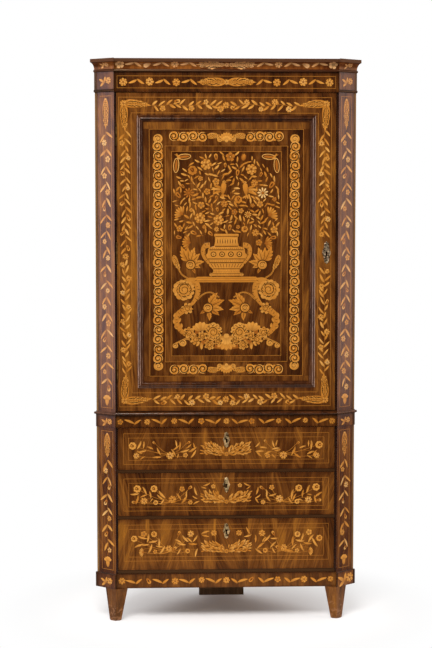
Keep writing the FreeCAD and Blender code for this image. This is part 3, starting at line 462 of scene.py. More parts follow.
def solids(path, half, skew, heights):
    """Points (piece, step, section, uvh): path + normal * half * section, with ends slanted by the skew."""
    tangent = np.gradient(path, axis=1)
    tangent /= np.maximum(np.linalg.norm(tangent, axis=-1, keepdims=True), 1e-9)
    normal = np.stack([-tangent[..., 1], tangent[..., 0]], -1)
    across = half[..., None] * SECTION
    slide = np.linspace(0, 1, path.shape[1])
    slant = skew[:, :1] * (1 - slide) + skew[:, 1:] * slide
    uv = path[:, :, None] + normal[:, :, None] * across[..., None]
    uv = uv + tangent[:, :, None] * (across * slant[..., None])[..., None]
    h = np.broadcast_to(heights[:, None, :], across.shape)
    step = np.linalg.norm(np.diff(path, axis=1), axis=-1)
    run = np.concatenate([np.zeros((len(path), 1)), np.cumsum(step, 1)], 1)
    return uv, h, across, np.broadcast_to(run[..., None], across.shape)


def ring_faces(pieces, steps, start):
    """Quads between neighbouring sections all the way round, and one face at each end, as vertex numbers."""
    k = len(SECTION)
    ids = start + np.arange(pieces * steps * k).reshape(pieces, steps, k)
    turned = np.roll(ids, -1, axis=2)
    quads = np.stack([ids[:, :-1], turned[:, :-1], turned[:, 1:], ids[:, 1:]], -1).reshape(-1, 4)
    return quads.tolist() + ids[:, 0, ::-1].tolist() + ids[:, -1].tolist()


print("a strip's section has", len(SECTION), "points")

# %% [markdown]
# Each strip also gets its own cell of a square map, so that its colours can be baked without overlaps. The
# section is opened out from left to right, the length runs upwards, and the two ends lie below and above.

# %% A map for the strips
UNROLLED = np.array([0.0, 0.08, 0.46, 0.84, 0.92, 1.0])
END_FACE = np.array([[(0.1, 0.0), (0.3, 0.07), (0.5, 0.08), (0.7, 0.07), (0.9, 0.0)]])
CELL_EDGE, CELL_SHARE = 0.04, 0.92


def unrolled(pieces, steps, first, grid):
    """Map = (cell's corner + edge + share * place in the cell) / grid, in the order of the strips' faces."""
    x, y = np.meshgrid(UNROLLED, np.linspace(0.1, 0.9, steps))
    around_quad = (np.s_[:-1, :-1], np.s_[:-1, 1:], np.s_[1:, 1:], np.s_[1:, :-1])
    quads = np.stack([np.stack([x[i], y[i]], -1) for i in around_quad], 2).reshape(1, -1, 2)
    cell = np.arange(first, first + pieces)
    corner = np.stack([cell % grid, cell // grid], -1)[:, None]
    shapes = (quads, END_FACE[:, ::-1], END_FACE + [0, CELL_SHARE])
    return np.concatenate([((corner + CELL_EDGE + CELL_SHARE * s) / grid).reshape(-1, 2) for s in shapes])


print("the map keeps", CELL_EDGE, "of a cell free at its edge")

# %% [markdown]
# A helper makes a new piece: a mesh with one material that rides on a body of the cabinet. Another lays a
# list of strips on a sheet as one such piece. What the finishes read is stored on the points: the grain
# coordinates, the tone and the burn.

# %% Laying strips on a sheet
VENEER_TOP, SUNK = 0.30, 0.25
LIFT, LEVEL_LIFT, UNEVEN_LIFT = 0.14, 0.12, 0.03
STORED = {"grain": ("FLOAT_VECTOR", "vector"), "tone": ("FLOAT", "value"), "burn": ("FLOAT", "value")}


def new_piece(name, body, points, faces, material):
    """Puts points and faces into a mesh with one material, and lets it ride on a body."""
    mesh = bpy.data.meshes.new(name)
    mesh.from_pydata(points, [], faces)
    mesh.materials.append(material)
    piece = bpy.data.objects.new(name, mesh)
    bpy.context.collection.objects.link(piece)
    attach(piece, body)
    return piece


def lay(name, body, place, batches, material=inlay, slot="veneered_walnut", base=VENEER_TOP, slope=0.5):
    """Makes one mesh from all batches of strips on a sheet. Height = base + a lift for each level + a little
    chance. The grain of each strip slopes by its seed."""
    points, faces, maps, store, count, number = [], [], [], {key: [] for key in STORED}, 0, 0
    grid = math.ceil(math.sqrt(sum(len(b["half"]) for b in batches)))
    for group in batches:
        pieces, steps = group["half"].shape
        top = base + LIFT + LEVEL_LIFT * group["level"][:, None] + UNEVEN_LIFT * group["seed"][:, None]
        heights = np.where(AT_FOOT, base - SUNK, top + AT_CROWN * group["crown"][:, None])
        uv, h, across, run = solids(group["path"], group["half"], group["skew"], heights)
        points.append(place(uv[..., 0], uv[..., 1], h).reshape(-1, 3))
        faces += ring_faces(pieces, steps, count)
        maps.append(unrolled(pieces, steps, number, grid))
        seed = np.broadcast_to(group["seed"][:, None, None], across.shape)
        grain = np.stack([across + (seed - 0.5) * slope * run, run + seed * 911, seed * 53], -1)
        shade = group["burn"][..., None] + group["edge"][:, None, None] * SHADE
        store["grain"].append(grain.reshape(-1, 3))
        store["tone"].append(np.broadcast_to(group["tone"][:, None, None], across.shape).ravel())
        store["burn"].append(np.clip(shade, 0, 0.85).ravel())
        count += across.size
        number += pieces
    piece = new_piece(name, body, np.concatenate(points), faces, material)
    for key, (kind, field) in STORED.items():
        made = piece.data.attributes.new(key, kind, "POINT")
        made.data.foreach_set(field, np.concatenate(store[key]).astype(np.float32).ravel())
    chart = piece.data.uv_layers.new(name="OFBake")
    chart.uv.foreach_set("vector", np.concatenate(maps).astype(np.float32).ravel())
    print(f"{name}: {number} pieces, {len(faces)} faces")


print("strips can be laid with", *STORED, "on their points")

# %% [markdown]
# A batch is a family of strips with their paths, half widths, tones and burns. One source of chance serves
# the whole lesson. It starts from a fixed seed, so every run cuts the same leaves.

# %% Families of strips
SEED = 1780
chance = np.random.default_rng(SEED)


def batch(path, half, tone, burn=0.0, level=0, edge=0.6, crown=0.10, skew=(0, 0)):
    """Completes a family of strips: every setting becomes an array with one row for each strip."""
    path = np.asarray(path, float)
    count, steps = path.shape[:2]
    shapes = {"half": (half, (count, steps)), "burn": (burn, (count, steps)), "skew": (skew, (count, 2)),
              **{key: (value, (count,)) for key, value in
                 dict(tone=tone, level=level, edge=edge, crown=crown, seed=chance.random(count)).items()}}
    rows = {key: np.broadcast_to(np.asarray(value, float), shape).copy() for key, (value, shape) in shapes.items()}
    return {"path": path, **rows}


print("chance starts from seed", SEED)

# %% [markdown]
# Veneer comes first. The fronts are covered with leaves of walnut side by side, with the grain upright,
# and each leaf is a little lighter or darker than the next. One sheet with a pattern would be simpler, but
# separate leaves show real joints. A leaf is the simplest strip: a straight path with a constant half width
# and no crown.

# %% Leaves of veneer
UNEVEN, OPEN_JOINT, VENEER_LEVEL, VENEER_SUNK = 0.25, 0.04, -1.16, 0.02
# Painted shade: every leaf darkens over its last few millimetres at both ends, as the shadow along the gaps beside
# it.
PAINTED_END_SHADE = [(0, 0.20), (0.05, 0.10), (0.16, 0), (0.84, 0), (0.95, 0.10), (1, 0.20)]


def veneer_leaves(box, width, tone, spread=0.12, tilt=0.0):
    """Divides a rectangle into upright leaves of about one width, which darken towards both ends as painted shade
    for the gaps beside them. A tilt makes them darker to the left and lighter to the right."""
    u0, u1, v0, v1 = box
    count = max(1, round((u1 - u0) / width))
    cuts = np.linspace(u0, u1, count + 1)
    cuts[1:-1] += chance.uniform(-UNEVEN, UNEVEN, count - 1) * (u1 - u0) / count
    centre, half = (cuts[1:] + cuts[:-1]) / 2, (cuts[1:] - cuts[:-1]) / 2 - OPEN_JOINT
    share, dark = np.array(PAINTED_END_SHADE).T
    path = np.stack(np.broadcast_arrays(centre[:, None], v0 + (v1 - v0) * share), -1)
    tones = tone + chance.uniform(-spread, spread, count) + np.linspace(-tilt, tilt, count)
    return batch(path, half[:, None], tones, dark, VENEER_LEVEL, 0, 0)


def cover(name, body, place, rectangles, slope=0.4, wood=veneer):
    """Lays leaves of veneer as one piece, whose tops come out about 0.3 mm over the wood."""
    lay(name, body, place, rectangles, wood, base=VENEER_TOP - VENEER_SUNK, slope=slope)


door_low, door_high = (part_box("door_hinge_stile")[i][2] for i in (0, 1))
door_z, half_door = (door_low + door_high) / 2, (door_high - door_low) / 2 / MM
sight_u, edge_u = (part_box("door_lock_stile")[i][0] / MM for i in (0, 1))
top_v = (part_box("door_top_rail")[0][2] - door_z) / MM
low_v = (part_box("door_bottom_rail")[1][2] - door_z) / MM
on_door, on_panel = flat((0, FRONT_Y, door_z)), flat((0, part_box("door_panel")[0][1], door_z))
cover("door_frame_veneer", "door", on_door, [
    veneer_leaves((-edge_u, -sight_u, -half_door, half_door), 74, 0.66, 0.04),
    veneer_leaves((sight_u, edge_u, -half_door, half_door), 74, 0.62, 0.04),
    veneer_leaves((-sight_u, sight_u, top_v, half_door), 70, 0.49, 0.06),
    veneer_leaves((-sight_u, sight_u, -half_door, low_v), 70, 0.50, 0.06)])

# %% [markdown]
# The panel is divided by three rectangles of stringing, given by half their width, their foot and their top
# in millimetres from the door's middle. Between them lie a light margin, a dark band for the scrolls, a
# narrow border and the field. The drawers have leaves of strong figure that slope, each in its own way.

# %% Veneer on the panel and the drawers
MARGIN, BAND, FIELD = (279, -449, 446), (222, -397, 386), (199, -375, 366)
MOULDING_WIDTH = 23
panel_u, panel_low, panel_top = sight_u - MOULDING_WIDTH, low_v + MOULDING_WIDTH, top_v - MOULDING_WIDTH
(margin_u, margin_low, margin_top), (field_u, field_low, field_top) = MARGIN, FIELD


def border_leaves(outer, inner, side_width, cross_width, tone):
    """Four rectangles between two others: the two sides at full height, and the top and the foot between them."""
    (u1, low, top), (u0, inner_low, inner_top) = outer, inner
    return [veneer_leaves(box, width, tone) for box, width in (
        ((-u1, -u0, low, top), side_width), ((u0, u1, low, top), side_width),
        ((-u0, u0, inner_top, top), cross_width), ((-u0, u0, low, inner_low), cross_width))]


cover("door_panel_veneer", "door", on_panel, [
    veneer_leaves((-panel_u, panel_u, margin_top, panel_top), 60, 0.62),
    veneer_leaves((-panel_u, panel_u, panel_low, margin_low), 60, 0.52),
    veneer_leaves((-panel_u, -margin_u, margin_low, margin_top), 30, 0.58),
    veneer_leaves((margin_u, panel_u, margin_low, margin_top), 30, 0.56),
    *border_leaves(MARGIN, BAND, 57, 74, 0.40),
    *border_leaves(BAND, FIELD, 23, 66, 0.46),
    veneer_leaves((-field_u, field_u, field_low, field_top), 100, 0.41, 0.05)])

drawer_sheets = {}
for number in (1, 2, 3):
    low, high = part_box(f"drawer_{number}_front")
    key_z = middle_z(f"drawer_{number}_escutcheon")
    drawer_sheets[number] = flat((0, FRONT_Y, key_z))
    front = (-edge_u, edge_u, (low[2] - key_z) / MM, (high[2] - key_z) / MM)
    cover(f"drawer_{number}_veneer", f"drawer_{number}", drawer_sheets[number],
          [veneer_leaves(front, 52, 0.51, 0.15, 0.08 if number == 1 else 0.0)], 0.9)

# %% [markdown]
# The rails and the canted faces are covered in the same way. On the narrow rails the grain runs across,
# as cabinet makers did to keep long strips from splitting.

# %% Veneer on the rails and the canted faces
rail_u, face_u = ARRIS_X / MM, STILE_FACE / 2
PLINTH_PROUD, PLINTH_CHAMFER, NECKING, BLOCK_PROUD = 6, 2.2, 10.2, 3
frieze_low, waist_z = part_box("frieze_rail")[0][2], middle_z("waist_rail")
plinth_low, plinth_high = (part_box("plinth")[i][2] for i in (0, 1))
waist_top, waist_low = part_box("waist_moulding")[1][2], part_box("waist_rail")[0][2]
frieze_z, half_frieze = (frieze_low + cornice_z) / 2, (cornice_z - frieze_low) / 2 / MM
plinth_z, half_plinth = (plinth_low + plinth_high) / 2, (plinth_high - plinth_low) / 2 / MM
upper_z, half_upper = (waist_top + frieze_low) / 2, (frieze_low - waist_top) / 2 / MM
lower_z, half_lower = (plinth_high + waist_low) / 2, (waist_low - plinth_high) / 2 / MM
half_waist = (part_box("waist_rail")[1][2] - waist_z) / MM
on_frieze, on_waist = flat((0, FRONT_Y, frieze_z)), flat((0, FRONT_Y, waist_z))
on_plinth = flat((0, FRONT_Y - PLINTH_PROUD * MM, plinth_z))
for kind, sheet, low, high, width, tone, spread in (
        ("frieze", on_frieze, -half_frieze, half_frieze, 110, 0.26, 0.05),
        ("waist", on_waist, -half_waist, half_waist, 90, 0.36, 0.06),
        ("plinth", on_plinth, -half_plinth, half_plinth - PLINTH_CHAMFER, 90, 0.42, 0.06)):
    cover(f"{kind}_veneer", "case", sheet, [veneer_leaves((-rail_u, rail_u, low, high), width, tone, spread)])

canted_sheets = {}
for side, word in ((-1, "left"), (1, "right")):
    faces = {"upper_stile": (canted(side, upper_z), -half_upper, half_upper, 0.46, 0.12),
             "lower_stile": (canted(side, lower_z), -half_lower, half_lower, 0.46, 0.12),
             "frieze": (canted(side, frieze_z, BLOCK_PROUD), -half_frieze + NECKING, half_frieze, 0.42, 0.12),
             "waist": (canted(side, waist_z, BLOCK_PROUD), -half_waist, half_waist, 0.40, 0.12),
             "plinth": (canted(side, plinth_z, PLINTH_PROUD + 2), -half_plinth, half_plinth - PLINTH_CHAMFER,
                        0.51 + 0.15 * side, 0.04)}
    canted_sheets[word] = {kind: face[0] for kind, face in faces.items()}
    for kind, (sheet, low, high, tone, spread) in faces.items():
        cover(f"{word}_{kind}_veneer", "case", sheet,
              [veneer_leaves((-face_u, face_u, low, high), STILE_FACE, tone, spread)], wood=canted_veneer)

# %% [markdown]
# Stringing is a thin line of boxwood let in round each panel. Four straight strips with mitred ends make
# a rectangle: the ends slant by one half width for each half width, which is what the skew does.

# %% Stringing
def stringing(u0, u1, v0, v1, half=0.6, tone=0.52):
    """Four strips round a rectangle, mitred at the corners."""
    corners = np.array([(u0, v0), (u1, v0), (u1, v1), (u0, v1)], float)
    path = np.stack([corners, np.roll(corners, -1, 0)], 1)
    return batch(path, half, tone, level=-0.4, edge=0.2, crown=0.02, skew=(1, -1), burn=0.22)


print("stringing is laid as four mitred strips")



# %% [markdown]
# Leaves and petals are the letters of the marquetry. A leaf's midrib bends like a parabola, and its half
# width swells from the stalk and narrows to a point. A disc is a strip too, and petals are blunt leaves
# that stand round a point.

# %% Leaves, discs and petals
STEPS = np.linspace(0, 1, 8)
FINE_STEPS = np.linspace(0, 1, 15)
LARGE_DISC = 12
INK, BLACK = 0.08, 0.06


def pointing(angle):
    """The unit vector of an angle, or of each angle in an array."""
    return np.stack([np.cos(angle), np.sin(angle)], -1)


def leaves(at, angle, length, half, bend=0.0, tone=0.6, burn=0.55, level=0, blunt=False):
    """Midrib = at + length * (s * along + bend * s^2 * left). Half width = half * s^0.6 (1 - s)^p, scaled to peak
    at 1. The burn fades from the stalk to the tip."""
    at = np.atleast_2d(np.asarray(at, float))
    angle, length, half, bend = (np.broadcast_to(np.asarray(x, float), len(at))
                                 for x in (angle, length, half, bend))
    along = pointing(angle)[:, None]
    left = np.stack([-np.sin(angle), np.cos(angle)], -1)[:, None]
    s = STEPS[None, :, None]
    path = at[:, None] + length[:, None, None] * (s * along + bend[:, None, None] * s ** 2 * left)
    swell = STEPS ** 0.6 * (1 - STEPS) ** (0.3 if blunt else 0.75)
    width = half[:, None] * (swell / swell.max() * 0.95 + 0.05)
    dark = np.asarray(burn, float).reshape(-1, 1) * (1 - STEPS) ** 1.7
    return batch(path, width, tone, dark, level)


def discs(at, radius, tone=0.6, burn=0.1, level=1):
    """A strip whose half width follows a circle: path = -r cos(pi s), half = r sin(pi s)."""
    at = np.atleast_2d(np.asarray(at, float))
    radius = np.broadcast_to(np.asarray(radius, float), len(at))
    turn = math.pi * (STEPS if radius.max() < LARGE_DISC else FINE_STEPS)
    path = at[:, None] + np.stack([-np.cos(turn), 0 * turn], -1)[None] * radius[:, None, None]
    half = radius[:, None] * (np.sin(turn) * 0.96 + 0.04)
    return batch(path, half, tone, burn, level)


def petals(at, count, inner, outer, half, turn=0.0, tone=0.6, burn=0.6, level=0, fan=2 * math.pi):
    """Blunt leaves that stand round a point, evenly over a fan of angles."""
    gaps = count if fan > 6 else max(count - 1, 1)
    angle = turn + fan * (np.arange(count) - (count - 1) / 2) / gaps
    root = np.asarray(at, float) + inner * pointing(angle)
    return leaves(root, angle, outer - inner, half, 0.0, tone, burn, level, True)


print("a leaf has", len(STEPS), "sections along its midrib")

# %% [markdown]
# Flowers are rings of petals round a disc. Each function gives one kind by its middle, its radius, the way
# it faces and its tone: roses have several rings, tulips three tall petals, carnations a fan, and a cup is
# an open flower seen from the side.

# %% Kinds of flowers
def behind(at, distance, turn):
    """The point at a distance from a flower's middle, against the way that it faces."""
    return np.asarray(at, float) - distance * np.array([math.cos(turn), math.sin(turn)])


def rose(at, r, turn=0.0, tone=0.55):
    """Seven petals out to r, five paler ones to 0.62 r turned between them, and a dark heart of 0.2 r."""
    varied = tone + 0.05 * np.array([1, -1, 1, -1, 1, -1, 0])
    return [petals(at, 7, 0.35 * r, r, 0.30 * r, turn, varied, 0.7),
            petals(at, 5, 0.1 * r, 0.62 * r, 0.24 * r, turn + 0.4, tone + 0.12, 0.75, 1),
            discs(at, 0.2 * r, 0.22, 0.3, 2)]


def daisy(at, r, turn=0.0, tone=0.75):
    """Nine narrow petals from 0.2 r to r round a heart of 0.26 r."""
    return [petals(at, 9, 0.2 * r, r, 0.15 * r, turn, tone, 0.4), discs(at, 0.26 * r, 0.3, 0.1, 1)]


def anemone(at, r, turn=0.0, tone=0.5):
    """Five broad petals from 0.12 r to r, a dark heart and a pale point in it."""
    return [petals(at, 5, 0.12 * r, r, 0.40 * r, turn, tone, 0.65), discs(at, 0.26 * r, 0.15, 0.0, 1),
            discs(at, 0.13 * r, 0.8, 0.0, 2)]


def tulip(at, r, turn=0.0, tone=0.58):
    """Two petals that lean 0.42 radians to the sides and one over them, all from a foot 0.9 r behind the middle."""
    foot = behind(at, 0.9 * r, turn)
    sides = leaves([foot, foot], [turn + 0.42, turn - 0.42], 1.75 * r, 0.36 * r, [-0.2, 0.2], tone - 0.08, 0.6)
    return [sides, leaves(foot, turn, 1.9 * r, 0.40 * r, 0.0, tone + 0.08, 0.75, 1)]


def carnation(at, r, turn=0.0, tone=0.55):
    """Seven narrow petals in a fan of 1.9 radians, and a cup at its foot."""
    foot, varied = behind(at, 0.7 * r, turn), tone + 0.1 * (np.arange(7) % 2)
    return [petals(foot, 7, 0.3 * r, 1.65 * r, 0.17 * r, turn, varied, 0.75, 0, 1.9),
            leaves(foot, turn, 0.8 * r, 0.26 * r, 0.0, 0.3, 0.4, 1)]


def bud(at, r, turn=0.0, tone=0.62):
    """One blunt petal 2 r long with a dark slit, held by two small leaves."""
    foot = behind(at, r, turn)
    return [leaves(foot, turn, 2 * r, 0.58 * r, 0.0, tone, 0.7, 0, True),
            leaves(behind(foot, -0.5 * r, turn), turn, 1.1 * r, 0.2 * r, 0.0, 0.14, 0, 1),
            leaves([foot, foot], [turn + 0.6, turn - 0.6], 1.1 * r, 0.2 * r, [-0.3, 0.3], 0.35, 0.4, 1)]


def cup(at, r, turn=0.0, tone=0.62):
    """An open flower seen into its cup: a pale ring of short petals, a dark hollow and a small heart beside it."""
    hollow_at = behind(at, -0.12 * r, turn)
    return [petals(at, 7, 0.3 * r, r, 0.36 * r, turn, tone + 0.05 * (np.arange(7) % 2), 0.3),
            discs(at, 0.66 * r, tone, 0.1, 0.3),
            leaves(behind(hollow_at, 0.52 * r, turn), turn, 1.04 * r, 0.42 * r, 0, 0.16, 0, 1, True),
            leaves(behind(hollow_at, 0.2 * r, turn), turn, 0.6 * r, 0.17 * r, 0.2, tone - 0.1, 0.2, 2, True)]


FLOWERS = {kind.__name__: kind for kind in (rose, daisy, anemone, tulip, carnation, bud, cup)}
BORDER_KINDS = (rose, anemone, bud, rose)
print("flowers:", *FLOWERS)

# %% [markdown]
# Longer forms follow the same rule. A stem is a thin strip along a smooth curve and a volute is a strip
# along a spiral.

# %% Stems and volutes
VOLUTE_POINTS = 33


def smooth(points, steps=25):
    """A curve through control points: cubic Hermite spans whose slopes come from the neighbours."""
    points = np.asarray(points, float)
    slope = np.gradient(points, axis=0)
    t = np.linspace(0, len(points) - 1 - 1e-9, steps)
    i = t.astype(int)
    f = (t - i)[:, None]
    a, b, da, db = points[i], points[i + 1], slope[i], slope[i + 1]
    return (2 * f ** 3 - 3 * f ** 2 + 1) * a + (f ** 3 - 2 * f ** 2 + f) * da \
        + (3 * f ** 2 - 2 * f ** 3) * b + (f ** 3 - f ** 2) * db


def headings(line, i, ahead):
    """The angle of a curve at some of its points, looking a few points ahead."""
    return np.arctan2(*(line[i + ahead] - line[i])[:, ::-1].T)


def stem(points, half, tone=0.55, burn=0.2, level=-0.5, steps=25, taper=0.4):
    """A strip along a smooth curve, narrowing evenly to a share of its half width."""
    width = half * np.linspace(1, taper, steps)
    return batch(smooth(points, steps)[None], width[None], tone, burn, level)


def volute(at, outer, inner, turns, start, half, tone, level, burn):
    """A spiral strip: radius falls evenly from outer to inner as the angle turns, and the width with it."""
    s = np.linspace(0, 1, VOLUTE_POINTS)
    angle = start + 2 * math.pi * turns * s
    radius = outer + (inner - outer) * s
    path = np.asarray(at, float) + radius[:, None] * pointing(angle)
    dark = burn * (0.5 + 0.5 * np.sin(angle * 1.5))
    return [batch(path[None], (half * (1 - 0.4 * s))[None], tone, dark[None], level),
            discs(at, max(inner * 0.8, 1.2), tone, 0.15, 0.6)]


print("a volute winds through", VOLUTE_POINTS, "points")

# %% [markdown]
# An acanthus leaf is a broad strip with lobes along both sides, dark cuts between them and dashes along its
# middle, which an engraver would cut with a fine saw.

# %% Acanthus and hatching
LOBE_STEP, CUT_TONE = 8, 0.05


def spindle(points, width, tone=0.52, core=0.92):
    """A dense acanthus leaf: half width = width / 2 * sin(pi * s^0.7)^0.8. A core fills a share of it, with lobes
    on it, dark cuts between them and a row of dashes along the middle."""
    line, s = smooth(points, 33), np.linspace(0, 1, 33)
    broad = 0.5 * width * np.sin(np.pi * s ** 0.7) ** 0.8 + 0.4
    count = max(5, round(np.linalg.norm(line[-1] - line[0]) / LOBE_STEP))
    i = np.linspace(2, 26, count).astype(int)
    heading = headings(line, i, 2)
    tip = 1.1 * np.linalg.norm(line[32] - line[22])
    made = [batch(line[None], core * broad[None], tone - 0.06, 0.2, -0.4),
            leaves(line[22], heading[-1], tip, 2.4, 0, tone, 0.3)]
    for way in (1, -1):
        side = way * np.stack([-np.sin(heading), np.cos(heading)], -1) * broad[i, None]
        made += [leaves(line[i] + 0.12 * side, heading + way * chance.uniform(0.45, 0.75, count),
                        broad[i] * chance.uniform(0.9, 1.25, count) + 1.5, np.minimum(3.5, 0.3 * broad[i] + 0.6),
                        -0.2 * way, tone + chance.uniform(-0.08, 0.15, count), 0.55, 0.2, True),
                 leaves(line[i + 2] + chance.uniform(0.18, 0.45, (count, 1)) * side, heading + 0.6 * way,
                        0.7 * broad[i], 0.085 * broad[i], -0.2 * way, CUT_TONE, 0, 1.0)]
    return made + [leaves(line[i], heading, 4.6, 0.9, 0, CUT_TONE, 0, 1.2)]


def hatched(points, width, count):
    """Short dark cuts across a smooth curve, as an engraver shades a scroll."""
    line = smooth(points, 41)
    i = np.linspace(3, 36, count).astype(int)
    across = headings(line, i, 3) + QUARTER + chance.uniform(-0.4, 0.4, count)
    long = width * chance.uniform(0.4, 0.9, count)
    root = line[i] + pointing(across) * (chance.uniform(-0.5, 0.5, count) * width - 0.5 * long)[:, None]
    return leaves(root, across, long, 0.9, 0.2, INK, 0, 1.5)


print("an acanthus leaf has a lobe every", LOBE_STEP, "mm")

# %% [markdown]
# A design is a list of strips. It can be turned round for the other half of the front, turned upside down,
# turned by a right angle or moved, and lists of lists are flattened before they are laid.

# %% Moving and turning designs
def mirrored(batches):
    """The same strips with u turned round, each with a new seed, for the other half of a symmetric design."""
    return [{**b, "path": b["path"] * [-1, 1], "skew": -b["skew"], "seed": chance.random(len(b["seed"]))}
            for b in batches]


def upside(batches):
    """The same strips with v turned round."""
    return [{**b, "path": b["path"] * [1, -1], "skew": -b["skew"]} for b in batches]


def quarter_turned(batches):
    """Turns a design by a right angle: (u, v) becomes (v, -u)."""
    return [{**b, "path": b["path"][..., ::-1] * [1, -1]} for b in batches]


def moved(batches, u, v):
    """The same strips with (u, v) added to every point of their paths."""
    return [{**b, "path": b["path"] + [u, v]} for b in batches]


def listed(*groups):
    """Flattens lists of batches, and lists of such lists, into one list."""
    return [b for g in groups for b in (listed(*g) if isinstance(g, list) else [g])]


def both_ways(batches):
    """A half design and the same turned round."""
    return listed(batches, mirrored(batches))


print("a design can be mirrored, turned and moved")

# %% [markdown]
# Most borders repeat one idea: a thin stem with pairs of leaves like an arrowhead, and a flower now and
# then on one side. The function walks along a straight line in even periods and lets chance vary the
# angles, sizes and kinds a little, as a cutter's hand would.

# %% A vine along a border
SWAY, CROWDED, LEAF_SHARE, FLOWER_SHARE, FIRST_LEAF = 0.07, 0.34, 0.084, 0.21, 0.02


def any_flower():
    """One of the border's kinds, by chance."""
    return BORDER_KINDS[chance.integers(len(BORDER_KINDS))]


def vine(start, end, period, width, pairs=2, apart=0.20, lean=0.75, reach=0.54, bloom=0.80, aside=0.21, tone=0.6):
    """Walks from start to end. Each period has some leaves on each side, which start a share of the period apart,
    and one flower, which stands aside from the stem by a share of the width."""
    start, end = np.asarray(start, float), np.asarray(end, float)
    length = np.linalg.norm(end - start)
    along = (end - start) / length
    left = np.array([-along[1], along[0]])
    heading = math.atan2(along[1], along[0])
    count = max(2, round(length / period))
    period = length / count
    k, pair = np.arange(count), np.arange(pairs * count)
    turn = np.where(k % 2, 1.0, -1.0)

    def sway(s):
        """Place = start + s * along - a sine to the left, half a wave for each period."""
        return start + along * s[:, None] - left * (SWAY * width * np.sin(math.pi * s / period))[:, None]

    def jitter(size):
        """One number for each leaf, evenly between -size and size."""
        return chance.uniform(-size, size, len(pair))

    made = [stem(sway(np.linspace(0, length, 4 * count + 1)), 0.6, 0.45, 0.3, -0.6, 8 * count, 1.0)]
    for way, offset in ((1, FIRST_LEAF), (-1, FIRST_LEAF + apart)):
        crowded = (pair % pairs == 1) & (turn[pair // pairs] == way)
        root = sway(period * (pair / pairs + offset + jitter(0.07)))
        angle = heading + way * (lean + jitter(0.20))
        long = np.where(crowded, CROWDED, reach + jitter(0.09)) * period
        half = (LEAF_SHARE + jitter(0.014)) * width
        made.append(leaves(root, angle, long, half, way * (-0.12 + jitter(0.14)), tone + jitter(0.14), 0.45))
    for at, way in zip(sway(period * (k + bloom)), turn):
        flower = any_flower()
        middle = at + left * way * (aside + chance.uniform(-0.04, 0.04)) * width
        made.append(flower(middle, width * (FLOWER_SHARE + chance.uniform(-0.03, 0.03)),
                           heading + chance.uniform(-0.9, 0.9), tone + chance.uniform(-0.1, 0.15)))
    return listed(*made)


print("a vine picks its flowers from", *[kind.__name__ for kind in BORDER_KINDS])

# %% [markdown]
# The broad bands beside the bouquet are running scrolls. Each is a row of discs that touch, a little to the
# left and the right in turn, and a dark line winds into every disc from the notch beside it, so the pale
# wood between reads as a stem that curls. One band is worked out upright and turned for the top and foot.

# %% Running scrolls
CURL_TURNS, CURL_START, RIM_POINTS, SHELL_TONE = 1.4, -0.75, 14, 0.54


def scroll_band(length, count, reach=18.0):
    """Discs in a row, set off to both sides in turn. A dark line enters each disc from the notch beside it and
    winds in: radius = reach * (1.02 - 0.8 s), angle = 1.4 turns * s. A small leaf closes the notch on each side."""
    wave = length / count
    k = np.arange(count)
    way = np.where(k % 2, -1.0, 1.0)
    middle = np.stack([0.07 * reach * way, (k + 0.5) * wave - length / 2], -1)
    s = np.linspace(0, 1, 23)
    angle, radius = CURL_START - 2 * np.pi * CURL_TURNS * s, (1.02 - 0.80 * s) * reach

    def sided(radius, angle):
        """The same arc for every disc, turned round on every other one."""
        u, v = np.broadcast_arrays(way[:, None] * radius * np.cos(angle), radius * np.sin(angle))
        return middle[:, None] + np.stack([u, v], -1)

    notch = np.stack([-0.58 * reach * way, k * wave - length / 2 - 0.42 * reach], -1)[1:]
    other = notch * [-1, 1] + [0, 0.12 * reach]
    return [discs(middle, reach, 0.47 + chance.uniform(-0.05, 0.08, count), 0.10, -0.2),
            batch(sided(0.90 * reach, angle[:RIM_POINTS] + 0.25), 0.08 * reach, 0.74, 0.0, 0.4),
            leaves(notch, QUARTER, 0.84 * reach, 0.34 * reach, 0.1, 0.50, 0.2, 0.1, True),
            leaves(other, QUARTER, 0.60 * reach, 0.26 * reach, 0.1, 0.46, 0.3, -0.4, True),
            batch(sided(radius, angle), 0.135 * reach * (1 - 0.35 * s), 0.03, 0, 0.7),
            leaves(middle + [0, 0.42 * reach], 0.5 + way, 0.5 * reach, 0.10 * reach, 0.2, 0.04, 0, 0.8),
            discs(middle, 0.16 * reach, 0.78, 0.1, 0.9)]


def scroll_end(at, r, start, turns=1.5, tone=0.52):
    """A rolled end: a full disc with a pale rim and a dark spiral line that winds to its middle."""
    return listed(discs(at, r, tone, 0.15, 0),
                  volute(at, 0.88 * r, 0.84 * r, 1, start, 0.10 * r, tone + 0.15, 0.5, 0.3),
                  volute(at, 0.66 * r, 0.14 * r, turns, start, 0.065 * r + 0.4, INK, 0.9, 0)[:1])


def shell(at, r, turn):
    """A scallop: a fan of blunt ribs over a wider, darker fan."""
    return [petals(at, 9, 0.1 * r, r, 0.15 * r, turn, SHELL_TONE, 0.55, 0, 2.7),
            petals(at, 6, 0.1 * r, 0.6 * r, 0.12 * r, turn, SHELL_TONE + 0.15, 0.6, 1, 2.0),
            discs(at, 0.2 * r, 0.7, 0.2, 1.5)]


